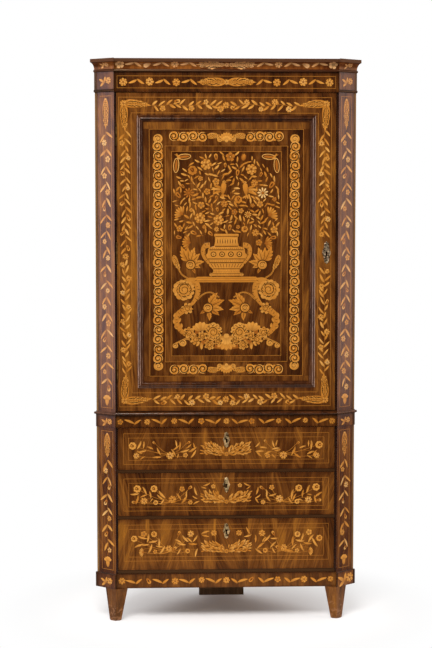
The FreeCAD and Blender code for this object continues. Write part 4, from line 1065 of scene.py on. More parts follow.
SCROLL_U, SCROLL_END_V, BAR_TOP, BAR_FOOT = 248, 412, 420, -424
side_band = listed(moved(scroll_band(805, 23), SCROLL_U, 0),
                   [scroll_end((SCROLL_U, v), 17, 0.5, 1.2) for v in (SCROLL_END_V, -SCROLL_END_V)])
half_bar = moved(quarter_turned(scroll_band(139, 4, 17.5)), 138, 0)
half_bar = listed(half_bar, spindle([(72, 0), (48, 3), (22, 1)], 24, 0.56), scroll_end((25, -11), 9, 1.0, 1.2))
cross_band = listed(both_ways(half_bar), shell((0, -15), 31, QUARTER))
lay("door_scroll_bands", "door", on_panel,
    listed(both_ways(side_band), moved(cross_band, 0, BAR_TOP), moved(upside(cross_band), 0, BAR_FOOT)))

# %% [markdown]
# The panel's middle shows a dome of flowers in an urn. The larger flowers have fixed places, given as kind,
# u, v and radius in millimetres from the panel's middle. Smaller ones stand on a loose grid between them
# where there is room, but not on the two birds.

# %% Flowers of the bouquet
BOUQUET = [("rose", -74, 320, 20), ("anemone", 13.5, 347, 17), ("rose", 90, 302, 20), ("cup", -123, 298, 17),
           ("anemone", -38, 258, 13), ("daisy", -137, 217, 19), ("daisy", 132, 217, 20), ("rose", 101, 253, 13),
           ("bud", 164, 246, 14), ("bud", -175, 209, 13), ("anemone", -92, 173, 13), ("rose", -96, 126, 20),
           ("rose", -29, 119, 19), ("carnation", -168, 146, 20), ("anemone", 29, 148, 11), ("daisy", 78, 139, 13),
           ("carnation", 164, 142, 21), ("anemone", -170, 88, 12), ("bud", -119, 73, 12), ("rose", 105, 73, 13),
           ("anemone", 173, 84, 13), ("bud", -173, 57, 11), ("carnation", -143, 39, 20), ("bud", 170, 55, 12),
           ("carnation", 150, 35, 18), ("cup", 43, 193, 14), ("anemone", 118, 37, 12), ("bud", -38, 347, 12),
           ("tulip", 62, 345, 14), ("anemone", -70, 222, 12), ("bud", 12, 92, 11), ("rose", -8, 178, 13),
           ("anemone", 122, 176, 12), ("bud", -58, 70, 11), ("cup", 66, 86, 12), ("bud", 40, 290, 12)]
DAISY_TONES = {-137: 0.34, 132: 0.88, 78: 0.66}
DOME_FOOT, ROOM, BIRDS_AT, BIRDS_ROOM = 212, 13, (30, 238), 82


def in_dome(u, v, half, rise):
    """Inside an ellipse above the dome's foot and an upright band below it."""
    return (u / half) ** 2 + (max(v - DOME_FOOT, 0) / rise) ** 2 < 1


small = [(u, v) for v in range(90, 350, 37) for u in range(-168, 190, 42)]
for u, v in np.array(small) + chance.uniform(-14, 14, (len(small), 2)):
    near = np.hypot(*(np.array([b[1:3] for b in BOUQUET]) - (u, v)).T) - [b[3] for b in BOUQUET]
    off_birds = math.hypot(u - BIRDS_AT[0], 1.6 * (v - BIRDS_AT[1])) > BIRDS_ROOM
    if near.min() > ROOM and in_dome(u, v, 180, 140) and off_birds:
        BOUQUET.append((("rose", "bud", "anemone")[chance.integers(3)], u, v, chance.uniform(7.5, 10)))

flowers = []
for kind, u, v, r in BOUQUET:
    tone = DAISY_TONES[u] if kind == "daisy" else 0.44 + chance.uniform(-0.1, 0.1)
    flowers += FLOWERS[kind]((u, v), r, math.atan2(v - 20, u), tone)
print(len(BOUQUET), "flowers in the bouquet")

# %% [markdown]
# Small leaves fill the ground between the flowers: candidates are drawn at random and kept only where they
# have room. Each could be placed by hand, but this rule gives the same crowded look with few lines. Their
# angles follow a slow wave over the field, so that neighbours lie alike, with a little chance on top.

# %% Leaves of the bouquet
LEAF_ROOM, LEAF_STEP, TRIES = 6.5, 13.6, 6000
BIRD_SPACES = [(-12, 240, 24), (74, 236, 26)]
taken, kept = np.array([flower[1:] for flower in BOUQUET] + BIRD_SPACES), []
for u, v in chance.uniform((-192, 62), (192, 366), (TRIES, 2)):
    above_urn = abs(u) > 60 or v > 76
    crowd = np.array(kept or [(999, 999)])
    clear = np.all(np.hypot(*(taken[:, :2] - (u, v)).T) > taken[:, 2] + LEAF_ROOM)
    if in_dome(u, v, 190, 150) and above_urn and clear and np.all(np.hypot(*(crowd - (u, v)).T) > LEAF_STEP):
        kept.append((u, v))
kept = np.array(kept)
number = len(kept)
swing = 1.25 * np.sin(kept[:, 0] / 17 + kept[:, 1] / 25) + chance.uniform(-0.35, 0.35, number)
heading = np.arctan2(kept[:, 1] - 40, kept[:, 0]) + swing
size = chance.uniform(15, 24, number)
root = kept - 0.5 * size[:, None] * pointing(heading)
bend = chance.uniform(0.05, 0.24, number) * chance.choice([-1, 1], number)
sprigs = leaves(root, heading, size, size * chance.uniform(0.13, 0.18, number), bend,
                chance.uniform(0.40, 0.74, number), 0.45)
stalks = batch(np.stack([root, root - 7 * pointing(heading + bend)], 1), 0.4, 0.4, 0.2, -0.8)
print(number, "leaves in the bouquet")

# %% [markdown]
# Two birds sit in the bouquet and two butterflies in the upper corners. A butterfly's wing is an oval with
# a dark line in it: three strips, each smaller than the one below.

# %% Birds and butterflies
def bird(at, way):
    """A small bird that sits upright: a body, three curved wing feathers to one side, two tail feathers, a head
    with an eye and a beak."""
    u, v = at
    lean = 0 if way > 0 else math.pi
    feathers = leaves([(u + 3 * way, v - 2), (u + 5 * way, v - 6), (u + 4 * way, v - 11)],
                      lean + way * np.array([0.7, 0.35, 0.0]), [30, 36, 32], 4.4, -0.35 * way,
                      [0.42, 0.60, 0.46], 0.5, 0.6)
    tail = leaves([(u, v - 18)] * 2, [-QUARTER + 0.25, -QUARTER - 0.25], 20, 3.2, 0.1 * way, [0.56, 0.42], 0.5)
    return [leaves((u, v - 24), QUARTER + 0.12 * way, 46, 9.5, 0, 0.46, 0.5, 0, True), feathers, tail,
            discs((u - 5 * way, v + 22), 6.0, 0.58, 0.2, 1), discs((u - 6 * way, v + 23), 1.5, INK, 0, 2),
            leaves((u - 10 * way, v + 22), math.pi - lean, 8, 1.8, 0, 0.3, 0.2, 1)]


WING_LAYERS = ((0, 0.74, 0), (3.0, BLACK, 0.8), (6.2, 0.31, 1.5))


def wing(at, angle, length, half):
    """A butterfly's wing: a pale oval, a dark line inside it and a golden core, one over the other. Path =
    -cos(pi s) along the oval, half width = half * sin(pi s)."""
    ahead, turn = np.array([math.cos(angle), math.sin(angle)]), np.linspace(0, math.pi, 15)
    middle = np.asarray(at) + 0.5 * length * ahead
    return [batch((middle - (0.5 * length - less) * np.cos(turn)[:, None] * ahead)[None],
                  (half - less) * np.sin(turn) + 0.2, tone, 0.1, level) for less, tone, level in WING_LAYERS]


butterfly = listed(wing((178, 345), 3.05, 50, 11), wing((180, 343), -1.50, 54, 11),
                   leaves((184, 358), -2.36, 26, 4, 0, 0.5, 0.4, 1.8),
                   leaves([(180, 352)] * 2, [0.2, 1.4], 9, 0.9, 0.3, 0.5, 0))
lay("door_bouquet", "door", on_panel,
    listed(stalks, sprigs, flowers, bird((-14, 234), -1), bird((72, 232), 1), both_ways(butterfly)))

# %% [markdown]
# The scrolls of the table are fat leaves rolled in on themselves. Dark lines of stained wood lie over them
# as an engraver would cut them, and jagged leaves spread from the smaller rolls.

# %% Ribs, whorls and curled heads
def ribbed(points, half, tone=0.58):
    """A broad stem with a thin dark line along its middle."""
    return [stem(points, half, tone, 0.2, 0, taper=0.8), stem(points, 0.55, 0.1, 0, 1.3, taper=0.8)]


def engraved(u0, v0, u1, v1, half=0.7):
    """A straight dark line between two points."""
    return stem([(u0, v0), ((u0 + u1) / 2, (v0 + v1) / 2), (u1, v1)], half, 0.1, 0, 1.4, 3, 1.0)


def around(at, radius, angle):
    """Points = at + radius * (cos, sin) of each angle."""
    return np.asarray(at, float) + np.reshape(radius, (-1, 1)) * pointing(angle)


TEETH = ((0.08, 0.95, 0.40), (0.28, 0.8, 0.38), (0.50, 0.65, 0.30))


def whorl(at, r, tips):
    """A rolled end with jagged leaves that reach to the given tips. Each leaf has three teeth on both sides and a
    dark midrib. A dark ring parts the leaves from the roll."""
    way = np.asarray(tips, float) - at
    angle, long = np.arctan2(way[:, 1], way[:, 0]), np.hypot(*way.T) - r
    root, tone = around(at, r, angle), 0.42 + chance.uniform(-0.08, 0.1, len(long))
    made = [leaves(root, angle, long, 0.12 * long + 1, 0.12, tone, 0.5, -0.6)]
    for part, side, share in TEETH:
        for turn in (1, -1):
            tooth = around(root, part * long, angle + 0.12 * part)
            made.append(leaves(tooth, angle + side * turn, share * long, 0.075 * long + 0.7, -0.25 * turn,
                               tone + 0.03, 0.45, -0.7))
    ribs = leaves(root, angle, 0.75 * long, 0.85, 0.12, INK, 0, 0.3)
    ring = batch(around(at, 1.07 * r, np.linspace(0, 2 * math.pi, 25))[None], 0.07 * r, BLACK, 0, 0.5)
    return listed(made, ribs, ring, scroll_end(at, r, 0.5, 1.45, 0.46))


def curled_head(at, r, start, turns, lift=0.0):
    """A fat leaf rolled in on itself: a disc with lobes round its edge, a dark line that winds in, and short cuts
    beside it. A dark sheet under it parts it from what lies below."""
    way, count = math.copysign(1.0, turns), max(6, round(0.35 * r))
    angle = start + 2 * math.pi * (np.arange(count) + chance.uniform(-0.2, 0.2, count)) / count
    lobes = discs(around(at, 0.74 * r, angle), 0.28 * r * chance.uniform(0.8, 1.2, count),
                  0.57 + chance.uniform(-0.06, 0.12, count), 0.15, lift - 0.2)
    spots = start + 2 * math.pi * chance.random(2 * count)
    cuts = [leaves(around(at, 0.60 * r, angle + 0.3), angle + 0.9 * way, 0.34 * r, 0.028 * r + 0.4, 0.3 * way,
                   INK, 0, lift + 1.4),
            leaves(around(at, r * chance.uniform(0.3, 0.85, 2 * count), spots), spots + 1.2 * way, 0.16 * r + 1,
                   0.8, 0.3, 0.10, 0, lift + 1.4)]
    return listed(discs(at, 1.03 * r, INK, 0, lift - 0.5), lobes, discs(at, 0.80 * r, 0.52, 0.12, lift),
                  volute(at, 0.56 * r, 0.16 * r, 1.5 * turns, start, 0.026 * r + 0.6, INK, lift + 1.3, 0), cuts,
                  discs(at, 0.12 * r, 0.60, 0.1, lift + 1.7))


print("a whorl's leaf has", len(TEETH), "teeth on each side")

# %% [markdown]
# The urn is one wide strip: its path is the axis, and its half width follows the turned profile. Dark
# lines of stained wood lie over it for mouldings, rings and ribs. It stands on a table bar.

# %% The urn
URN_FOOT, URN_LIP, URN_RINGS = -83, 69, (-47, -16, 16, 47)
URN = np.array([(-83, 58), (-78, 58), (-74, 54), (-68, 50), (-62, 50), (-57, 54), (-53, 59), (-47, 65), (-40, 67),
                (-30, 71), (-15, 74), (-12, 76), (-5, 76), (-2, 72), (10, 70), (16, 69), (20, 62), (24, 47),
                (40, 43), (58, 43), (61, 47), (69, 46)])
URN_LINES = ((-76, 54, 1.1), (-58, 52, 1.3), (-36, 66, 1.7), (-22, 72, 1.4), (11, 66, 1.4), (24, 44, 1.6),
             (60, 43, 1.1))
URN_GROOVES = ((-33, 60), (13, 58), (-72, 48))
EAR = [(60, 27), (76, 25), (84, 10), (80, -12), (62, -36)]
EAR_LINE = [(64, 17), (74, 14), (78, 2), (74, -16), (62, -32)]
rise = np.linspace(URN_FOOT, URN_LIP, 77)
vessel = batch(np.stack([0 * rise, rise], -1)[None], np.interp(rise, *URN.T)[None], 0.52, 0.08, 0.1, crown=0.05)
lines = [engraved(-0.94 * half, v, 0.94 * half, v, thick) for v, half, thick in URN_LINES]
ribs = [engraved(u, -40, 0.84 * u, -53, 0.9) for u in np.linspace(-56, 56, 11)]
grooves = [np.stack([np.linspace(-half, half, 17), np.full(17, v)], -1) for v, half in URN_GROOVES]
ribs.append(leaves(np.concatenate(grooves), QUARTER, 6, 0.55, 0, 0.14, 0, 1.4))
rings = [discs((u, -5), r, tone, burn, level) for u in URN_RINGS
         for r, tone, burn, level in ((10.5, INK, 0, 0.8), (7.6, 0.6, 0.1, 1.2), (3.2, INK, 0, 1.6))]
flutes = np.stack([np.linspace(-32, 32, 8), np.full(8, 33.0)], -1)
neck = [batch([[(-38, 42), (38, 42)]], 12.5, 0.58, 0.1, 0.3), leaves(flutes, QUARTER, 18, 1.3, 0, 0.12, 0, 1.5)]
handle = listed(stem(EAR, 11, 0.50, 0.2, -0.1, taper=0.7), stem(EAR_LINE, 1.5, INK, 0, 1.3), hatched(EAR, 14, 6),
                scroll_end((56, -79), 6.5, 0.5, 1.1, 0.48))
bar = [batch([[(-114, -97), (114, -97)]], 10.5, 0.46, 0.05, 0.3, skew=(0.6, -0.6)),
       *[engraved(-106, v, 106, v, 0.5) for v in (-101, -92)]]
print("urn of", len(URN), "profile points")

# %% [markdown]
# One half of the table is drawn and turned round for the other: a leg that rolls in at its top and bends
# out and in again, a spray beside the urn, a hanging leaf inside, and a swag of curled leaves along the foot.

# %% The table and its scrolls
LEG_NECK = [(120, -98), (106, -120), (105, -148), (118, -176), (138, -198)]
LEG_CURVE = [(156, -208), (178, -226), (182, -252), (168, -280), (148, -298)]
LEG_LEAVES = [(184, -218), (190, -240), (188, -262), (168, -236), (166, -256)]
SPRAY_TIPS = [(171, 21), (146, 19), (121, 21), (100, 0), (82, -28), (94, -52), (112, -74)]
INNER_TIPS = [(38, -142), (10, -166), (10, -202), (24, -224), (58, -246), (94, -222)]
SWAG_LINE, SWAG_HALF = [(0, -330), (56, -322), (104, -302), (150, -292)], ([0, 0.35, 0.8, 1], [25, 24, 20, 10])
SWAG_HEADS = [(48, -288, 33, 1), (136, -290, 21, -1), (112, -315, 21, 1), (62, -335, 19, -1), (88, -302, 18, 1),
              (30, -322, 14, -1)]
leg = listed(curled_head((154, -134), 39, 2.2, -1.0), stem(LEG_NECK, 13, 0.50, 0.2, 0.1), hatched(LEG_NECK, 18, 9),
             stem([(112, -99), (134, -96), (154, -102)], 9.0, 0.52, 0.2, 0.1),
             curled_head((143, -202), 21, 0.4, 1.0),
             stem(LEG_CURVE, 11.5, 0.48, 0.2, 0.1, taper=0.7), hatched(LEG_CURVE, 15, 8),
             leaves(LEG_LEAVES, [-0.9, -1.3, -1.8, -1.5, -2.0], 17, 4.2, [-0.2, -0.2, -0.2, 0.2, 0.2],
                    0.52, 0.4, 0.3))
spray = listed(whorl((131, -44), 16, SPRAY_TIPS), spindle([(192, -8), (184, -34), (170, -60)], 22, 0.54),
               ribbed([(142, -92), (164, -76), (176, -50), (182, -24)], 3.0, 0.52))
inner = listed(whorl((68, -200), 16, INNER_TIPS),
               ribbed([(106, -170), (84, -150), (56, -144), (26, -162)], 3.0, 0.52))
under = batch(smooth(SWAG_LINE, 17)[None], np.interp(np.linspace(0, 1, 17), *SWAG_HALF), 0.30, 0.2, -0.9)
swag = listed(under, [curled_head((u, v), r, 0.7 * n, turn, 0.4 * n)
                      for n, (u, v, r, turn) in enumerate(SWAG_HEADS)],
              petals((92, -288), 5, 4, 38, 7, 1.45, 0.56 + 0.08 * (np.arange(5) % 2), 0.6, 0.6, 1.7),
              leaves([(92, -326), (100, -322)], [-1.7, -1.2], [26, 20], 6, 0.1, 0.58),
              scroll_end((159, -328), 13, 0, 1.2), scroll_end((186, -338), 10, 0, 1.1),
              ribbed([(128, -318), (144, -312), (159, -318), (186, -330)], 4.0))
table = both_ways(listed(handle, leg, spray, inner, swag))
lay("door_urn_and_scrolls", "door", on_panel,
    listed(table, vessel, lines, ribs, rings, neck, bar, shell((0, -304), 52, -QUARTER)))
lay("door_panel_stringing", "door", on_panel,
    [stringing(-half, half, foot, top) for half, foot, top in (MARGIN, BAND, FIELD)])

# %% [markdown]
# The door's frame has a vine between two lines, and its corners turn in acanthus leaves. The hinge side is
# a little narrower than the lock side, so each side gets its own middle line. The vines at the sides grow
# from the corners; on the hinge side they meet at a rose, on the lock side they stop short of the middle.

# %% Door frame
LEFT_BAND, RIGHT_BAND, TOP_BAND, LOW_BAND, CORNER_SHIFT = -366, 356, 532, -534, -10
corner = listed(spindle([(-374, 538), (-330, 537), (-274, 531)], 33),
                spindle([(-370, 540), (-370, 494), (-366, 440)], 33), rose((-372, 538), 12))
vines = listed(*[vine((u, v0), (u, v1), 52, width) for u, v0, v1, width in (
    (LEFT_BAND, 440, 6, 44), (LEFT_BAND, -444, -30, 44), (RIGHT_BAND, 440, 56, 46), (RIGHT_BAND, -444, -56, 46))],
    rose((LEFT_BAND, -12), 11))
for v in (TOP_BAND, LOW_BAND):
    vines += listed(vine((-272, v), (-12, v), 53, 49), mirrored(vine((-266, v), (-12, v), 53, 49)),
                    rose((-2, v), 12))
lay("door_frame_vines", "door", on_door,
    listed(corner, upside(corner), *[moved(mirrored(c), CORNER_SHIFT, 0) for c in (corner, upside(corner))], vines))
lay("door_frame_stringing", "door", on_door, [stringing(-389, 380, -560, 560), stringing(-344, 332, -509, 504)])

# %% [markdown]
# Each drawer front has two lines of stringing, a pair of thick laurel branches under the keyhole and sprays
# of flowers to both sides. Flowers are listed by kind, place and radius, loose leaves by their two ends, all
# in millimetres from the keyhole. The right half is the left half turned round. Every piece is set down a
# little out of place, as by hand, so the two halves differ.

# %% Places of the flowers on the drawers
BLOOMS = {
    1: [("cup", -341, -19, 14), ("rose", -329, -60, 11), ("rose", -209, -57, 14), ("anemone", -152, -58, 9),
        ("bud", -141, -8, 7), ("bud", -262, -12, 7)],
    2: [("cup", -328, -13, 14), ("cup", -265, -12, 13), ("rose", -301, -60, 13), ("bud", -339, -62, 9),
        ("cup", -258, -66, 9), ("rose", -197, -55, 14), ("anemone", -164, -13, 10), ("bud", -132, -10, 9),
        ("rose", -134, -64, 9), ("anemone", -48, -5, 8)],
    3: [("cup", -340, -29, 12), ("anemone", -303, -7, 11), ("cup", -264, -13, 11), ("carnation", -308, -78, 12),
        ("anemone", -262, -77, 8), ("rose", -212, -65, 12), ("bud", -191, -63, 9), ("bud", -174, -10, 9),
        ("rose", -130, -12, 12), ("cup", -144, -75, 9), ("rose", -47, -8, 11)]}
SPRIGS = {
    1: [(-312, -4, -317, -32), (-303, -2, -298, -26), (-294, -23, -270, -28), (-331, -38, -313, -55),
        (-322, -44, -298, -46), (-255, -26, -250, -56), (-274, -68, -246, -58), (-318, -71, -301, -58),
        (-189, -3, -178, -20), (-171, -5, -167, -29), (-203, -36, -183, -50), (-198, -35, -172, -29),
        (-151, -34, -127, -24), (-123, -11, -113, -31), (-168, -44, -140, -45), (-139, -45, -109, -37),
        (-132, -65, -105, -49), (-181, -69, -172, -51)],
    2: [(-307, -4, -291, -27), (-352, -32, -324, -37), (-317, -44, -299, -32), (-323, -38, -322, -66),
        (-283, -22, -273, -43), (-247, -19, -232, -47), (-257, -35, -241, -57), (-282, -63, -266, -51),
        (-246, -72, -224, -59), (-183, -32, -163, -46), (-144, -19, -153, -42), (-118, -10, -118, -34),
        (-165, -66, -140, -47), (-124, -39, -111, -53), (-120, -71, -104, -56), (-92, -5, -79, -18),
        (-86, -4, -62, -2)],
    3: [(-324, -15, -299, -37), (-285, -9, -284, -38), (-286, -41, -259, -44), (-337, -60, -311, -41),
        (-313, -48, -286, -55), (-289, -80, -266, -57), (-249, -24, -238, -53), (-262, -52, -240, -62),
        (-248, -84, -221, -65), (-191, -30, -166, -35), (-161, -17, -148, -44), (-147, -23, -127, -35),
        (-106, -15, -115, -41), (-185, -44, -158, -58), (-142, -44, -114, -58), (-169, -64, -175, -86),
        (-107, -64, -123, -88), (-91, -13, -69, 4), (-91, -14, -69, -26)]}
print("flowers on half of each drawer:", [len(row) for row in BLOOMS.values()])

# %% [markdown]
# The sprays grow from one point on each side, to which thin stems lead. The laurel's leaves stand in rows
# over its base, and each row points higher than the last.

# %% Drawer fronts
SPRAY_U, LAUREL_EDGE, SLIP = -205, -110, 2.5
LAUREL_ROWS, LAUREL_LEAVES = 5, 12
DRAWERS = ((1, -56, 42, -89), (2, -66, 36, -95), (3, -79, 36, -110))


def slip(*shape):
    """How far pieces lie out of place: up to 2.5 mm either way, by chance."""
    return chance.uniform(-SLIP, SLIP, shape)


def loose_leaves(ends):
    """Leaves between pairs of points, each with a smaller one that parts from it at a third of the way."""
    way, count = ends[:, 1] - ends[:, 0], len(ends)
    long = np.hypot(*way.T)
    heading, side = np.arctan2(way[:, 1], way[:, 0]), chance.choice([-1.0, 1.0], count)
    return [leaves(ends[:, 0], heading, 1.1 * long, 0.115 * long, 0.3 * side,
                   chance.uniform(0.46, 0.72, count), 0.5),
            leaves(ends[:, 0] + 0.3 * way, heading + 0.8 * side, 0.5 * long, 0.055 * long, -0.3 * side,
                   chance.uniform(0.42, 0.7, count), 0.5, -0.4)]


def laurel_row(row, base, rise):
    """Twelve leaves at s from 0 to 1 along the base: u = -7 - 71 s, and v rises with s and with the row."""
    s = (np.arange(LAUREL_LEAVES) + chance.uniform(-0.4, 0.4, LAUREL_LEAVES)) / (LAUREL_LEAVES - 1)
    root = np.stack([-7 - 71 * s, base + 5 * s + 0.19 * rise * row * np.minimum(1, 0.5 + s)], -1)
    return leaves(root, 2.95 - 0.22 * row + chance.uniform(-0.4, 0.4, LAUREL_LEAVES),
                  chance.uniform(12, 20, LAUREL_LEAVES), 2.7, chance.uniform(-0.2, 0.25, LAUREL_LEAVES),
                  chance.uniform(0.40, 0.74, LAUREL_LEAVES), 0.75, 0.25 * row)


def drawer_half(number, base, rise):
    """The left half of a front: loose leaves, flowers on thin stems, and the laurel over its base."""
    ends = np.array(SPRIGS[number], float).reshape(-1, 2, 2)
    made = loose_leaves(ends + slip(*ends.shape))
    for kind, u, v, r in BLOOMS[number]:
        facing = math.atan2(v - base, u - SPRAY_U)
        made.append(FLOWERS[kind]((u, v) + slip(2), r, facing, chance.uniform(0.5, 0.68)))
        if u < LAUREL_EDGE:
            halfway = ((u + SPRAY_U) / 2, (v + base) / 2 - 5)
            made.append(stem([(SPRAY_U, base + 3), halfway, (u, v)], 0.7, 0.5, 0.2, -0.8, 9, 0.8))
    made += [stem([(-214, base + 2), (-245, base + 6), (-286, base + 16), (-316, base + 8)], 0.8, 0.45),
             stem([(-196, base + 2), (-160, base + 12), (-112, base + 10)], 0.8, 0.45)]
    return listed(*made, *[laurel_row(row, base, rise) for row in range(LAUREL_ROWS)])


for number, base, rise, foot in DRAWERS:
    name, sheet = f"drawer_{number}", drawer_sheets[number]
    halves = listed(drawer_half(number, base, rise), mirrored(drawer_half(number, base, rise)))
    lay(f"{name}_flowers", name, sheet, listed(halves, anemone((0, base + 3), 8)))
    lay(f"{name}_stringing", name, sheet,
        [stringing(-376, 376, foot, 24, 0.5, 0.5), stringing(-358, 358, foot + 15, 8, 0.45, 0.5)])

# %% [markdown]
# The frieze, the cornice, the waist rail and the plinth carry rows of flowers with pairs of leaves between
# them, the same on both sides of the middle. On the two upper rows a pair of acanthus leaves marks the
# centre.

# %% Rows of flowers on the rails
def flower_row(start, end, count, size, up, tone=0.53):
    """Flowers at even steps, and between them two leaves that spread from one point: both wide and upwards, or
    downwards with one of them steeper."""
    step = (end - start) / count
    at = start + step * np.arange(count)
    apex = np.stack([at + 0.52 * step, np.full(count, -0.34 * size * up)], -1)
    jitter = chance.uniform(-0.1, 0.1, (2, count))
    turns, long, full = ((0.56, 0.90), (0.40, 0.30), 0.35) if up > 0 else ((0.52, 0.88), (0.34, 0.34), 0.42)
    made = [leaves(apex + [0.0, 0.1 * size * up], up * (turns[0] + jitter[0]), long[0] * abs(step), 0.13 * size,
                   -0.2 * up, tone + 0.06, 0.4),
            leaves(apex, math.pi - up * (turns[1] + jitter[1]), long[1] * abs(step), 0.13 * size,
                   0.2 * up, tone, 0.4)]
    for u in at:
        flower = any_flower()
        made.append(flower((u, chance.uniform(-0.06, 0.06) * size), full * size * chance.uniform(0.85, 1.05),
                           chance.uniform(0, 6.3), tone + chance.uniform(-0.07, 0.1)))
    return listed(*made)


# Painted light: the inlay in the cornice's hollow uses the brightened woods.
IN_COVE = (cornice_inlay_painted_light, "stained_walnut", 0.1)
frieze_half = listed(flower_row(372, 86, 3, 34, -1), spindle([(2, 0), (50, 1), (104, 0)], 35, 0.54))
lay("frieze_flowers", "case", on_frieze, listed(both_ways(frieze_half), rose((0, 0), 10, 0, 0.6)))
lay("frieze_stringing", "case", on_frieze, [stringing(-394, 394, -21.5, 21.5)])
cove_half = listed(flower_row(384, 88, 3, 38, -1, 0.62), spindle([(2, 0), (52, 0), (108, 0)], 42, 0.58, 0.25))
lay("cornice_flowers", "case", cove, listed(both_ways(cove_half), rose((0, 0), 9)), *IN_COVE)
for kind, sheet, start, size, tone, r in (("waist", on_waist, 388, 33, 0.47, 11),
                                          ("plinth", on_plinth, 384, 35, 0.48, 12)):
    row = [way(flower_row(start, -6, 4, size, 1, tone)) for way in (list, mirrored)]
    lay(f"{kind}_flowers", "case", sheet, listed(row, rose((0, 0), r)))

# %% [markdown]
# The canted corners have tall narrow fields: a hanging acanthus leaf at the top and a vine below it that
# ends in a small flower pot. The blocks of frieze, waist and plinth beside them have one sprig each.

# %% Canted corners
FIELD_INSET, FIELD_HALF = 14, 27
STILE_VINE = dict(pairs=1, apart=0.09, lean=0.84, reach=0.64, bloom=0.66, aside=0.10, tone=0.68)


def hanging_field(half, drop):
    """A field of one canted face: a pendant leaf, a vine downwards and a pot at the foot, and the stringing round
    them."""
    top, foot = half - FIELD_INSET, FIELD_INSET - half
    pendant = listed(spindle([(0, top - 8), (0, top - 8 - drop / 2), (0, top - 8 - drop)], 32, 0.56),
                     discs((0, top - 12), 5, 0.7, 0.1, 1))
    pot = [leaves((0, foot + 8), QUARTER, 26, 9, 0, 0.58, 0.4, 0, True),
           petals((0, foot + 28), 5, 2, 20, 5, QUARTER, 0.65, 0.5, 0.5, 2.0)]
    creeper = vine((0, top - 20 - drop), (0, foot + 52), 58, 52, **STILE_VINE)
    return listed(pendant, creeper, pot), [stringing(-FIELD_HALF, FIELD_HALF, foot, top)]


def sprig(size):
    """One flower with three leaves, for the small blocks."""
    return listed(leaves([(-0.1 * size, -0.2 * size)] * 3, [2.5, 3.6, 1.2], [0.75 * size, 0.6 * size, 0.6 * size],
                         0.13 * size, 0.15, 0.62),
                  rose((0.45 * size, 0.0), 0.34 * size, 0.3, 0.62),
                  stem([(-0.5 * size, -0.3 * size), (0, -0.2 * size), (0.4 * size, 0)], 0.8, 0.5))


for side, (word, sheets) in zip((-1, 1), canted_sheets.items()):
    for level, half, drop in (("upper", half_upper, 108), ("lower", half_lower, 88)):
        design, border = hanging_field(half, drop)
        lay(f"{word}_{level}_stile_flowers", "case", sheets[f"{level}_stile"], design, canted_inlay)
        lay(f"{word}_{level}_stile_stringing", "case", sheets[f"{level}_stile"], border, canted_inlay)
    for block, size, up in (("frieze", 36, 5), ("waist", 32, 0), ("plinth", 36 if side < 0 else 52, 0)):
        lay(f"{word}_{block}_sprig", "case", sheets[block], moved(sprig(size), 0, up), canted_inlay)
    lay(f"{word}_cornice_sprig", "case", hollow(canted(side, cornice_z))[0], sprig(26), *IN_COVE)

# %% [markdown]
# The panel is held by a dark moulding with two slanted edges, which catch the light of the side lamps as two
# bright lines. Its section is drawn once, as distance in from the frame's edge and height before the frame,
# and carried round the four sides with mitred corners. A curve with a bevel could do it too, but a grid of
# points keeps the mitres exact. It stands in for the plainer moulding of the frame.

# %% The moulding round the panel
MOULDING = np.array([(0, -7), (0, 0.3), (0.5, 0.6), (3.3, 2.2), (3.8, 2.2), (4.2, 0.9), (6.8, 0.9), (7.2, 1.1),
                     (10.0, 2.7), (10.8, 2.9), (12.0, 2.6), (12.8, 1.8), (13, 0.6), (13, -1.7), (15, -1.7),
                     (16, -3.2), (18, -4.5), (20.5, -5.2), (MOULDING_WIDTH, -5.5), (MOULDING_WIDTH, -7)])
inset, proud = MOULDING[:, :1], MOULDING[:, 1:]
corner_u = (sight_u - inset) * [-1, 1, 1, -1]
corner_v = np.concatenate([low_v + inset, low_v + inset, top_v - inset, top_v - inset], 1)


def wrapped_quads(ids, reverse=False):
    """Faces of a grid of vertex numbers that closes on itself both ways."""
    below, right = np.roll(ids, -1, axis=0), np.roll(ids, -1, axis=1)
    ring = [ids, right, np.roll(below, -1, axis=1), below]
    return np.stack([ids, *ring[:0:-1]] if reverse else ring, -1).reshape(-1, 4).tolist()


ids = np.arange(corner_u.size).reshape(corner_u.shape)
piece = new_piece("door_panel_moulding", "door", on_door(corner_u, corner_v, proud).reshape(-1, 3),
                  wrapped_quads(ids), moulded)
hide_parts("door_mouldings")
print("moulding of", len(MOULDING), "edges round the panel")

# %% [markdown]
# The keyhole plates are cast in brass: a lobed oval with a raised rim round a keyhole. The plate is a grid in
# two parameters, the angle round the keyhole and the way from the hole's edge to the outline, with a wall
# down to the wood at both. It could be sculpted, but a grid keeps it closed and its lobes even. It stands in
# for the flat plate of the frame.

# %% Cast keyhole plates
HOLE_RADIUS, SLOT_HALF, SLOT_FOOT, HOLE_RISE = 4.4, 2.8, 9.0, 3.0
PLATE_THICK, RIM_HEIGHT, PLATE_FOOT, PLATE_TURNS = 1.3, 1.0, 0.1, 96


def keyhole(angle):
    """Distance from a point 3 mm below the hole's centre to the edge of a round hole joined to a slot, by angle."""
    c, s = np.cos(angle), np.sin(angle)
    slot = np.minimum(SLOT_HALF / np.maximum(np.abs(c), 1e-6),
                      np.where(s > 0, HOLE_RISE, SLOT_FOOT) / np.maximum(np.abs(s), 1e-6))
    return np.maximum(slot, HOLE_RISE * s + np.sqrt((HOLE_RISE * s) ** 2 + HOLE_RADIUS ** 2 - HOLE_RISE ** 2))


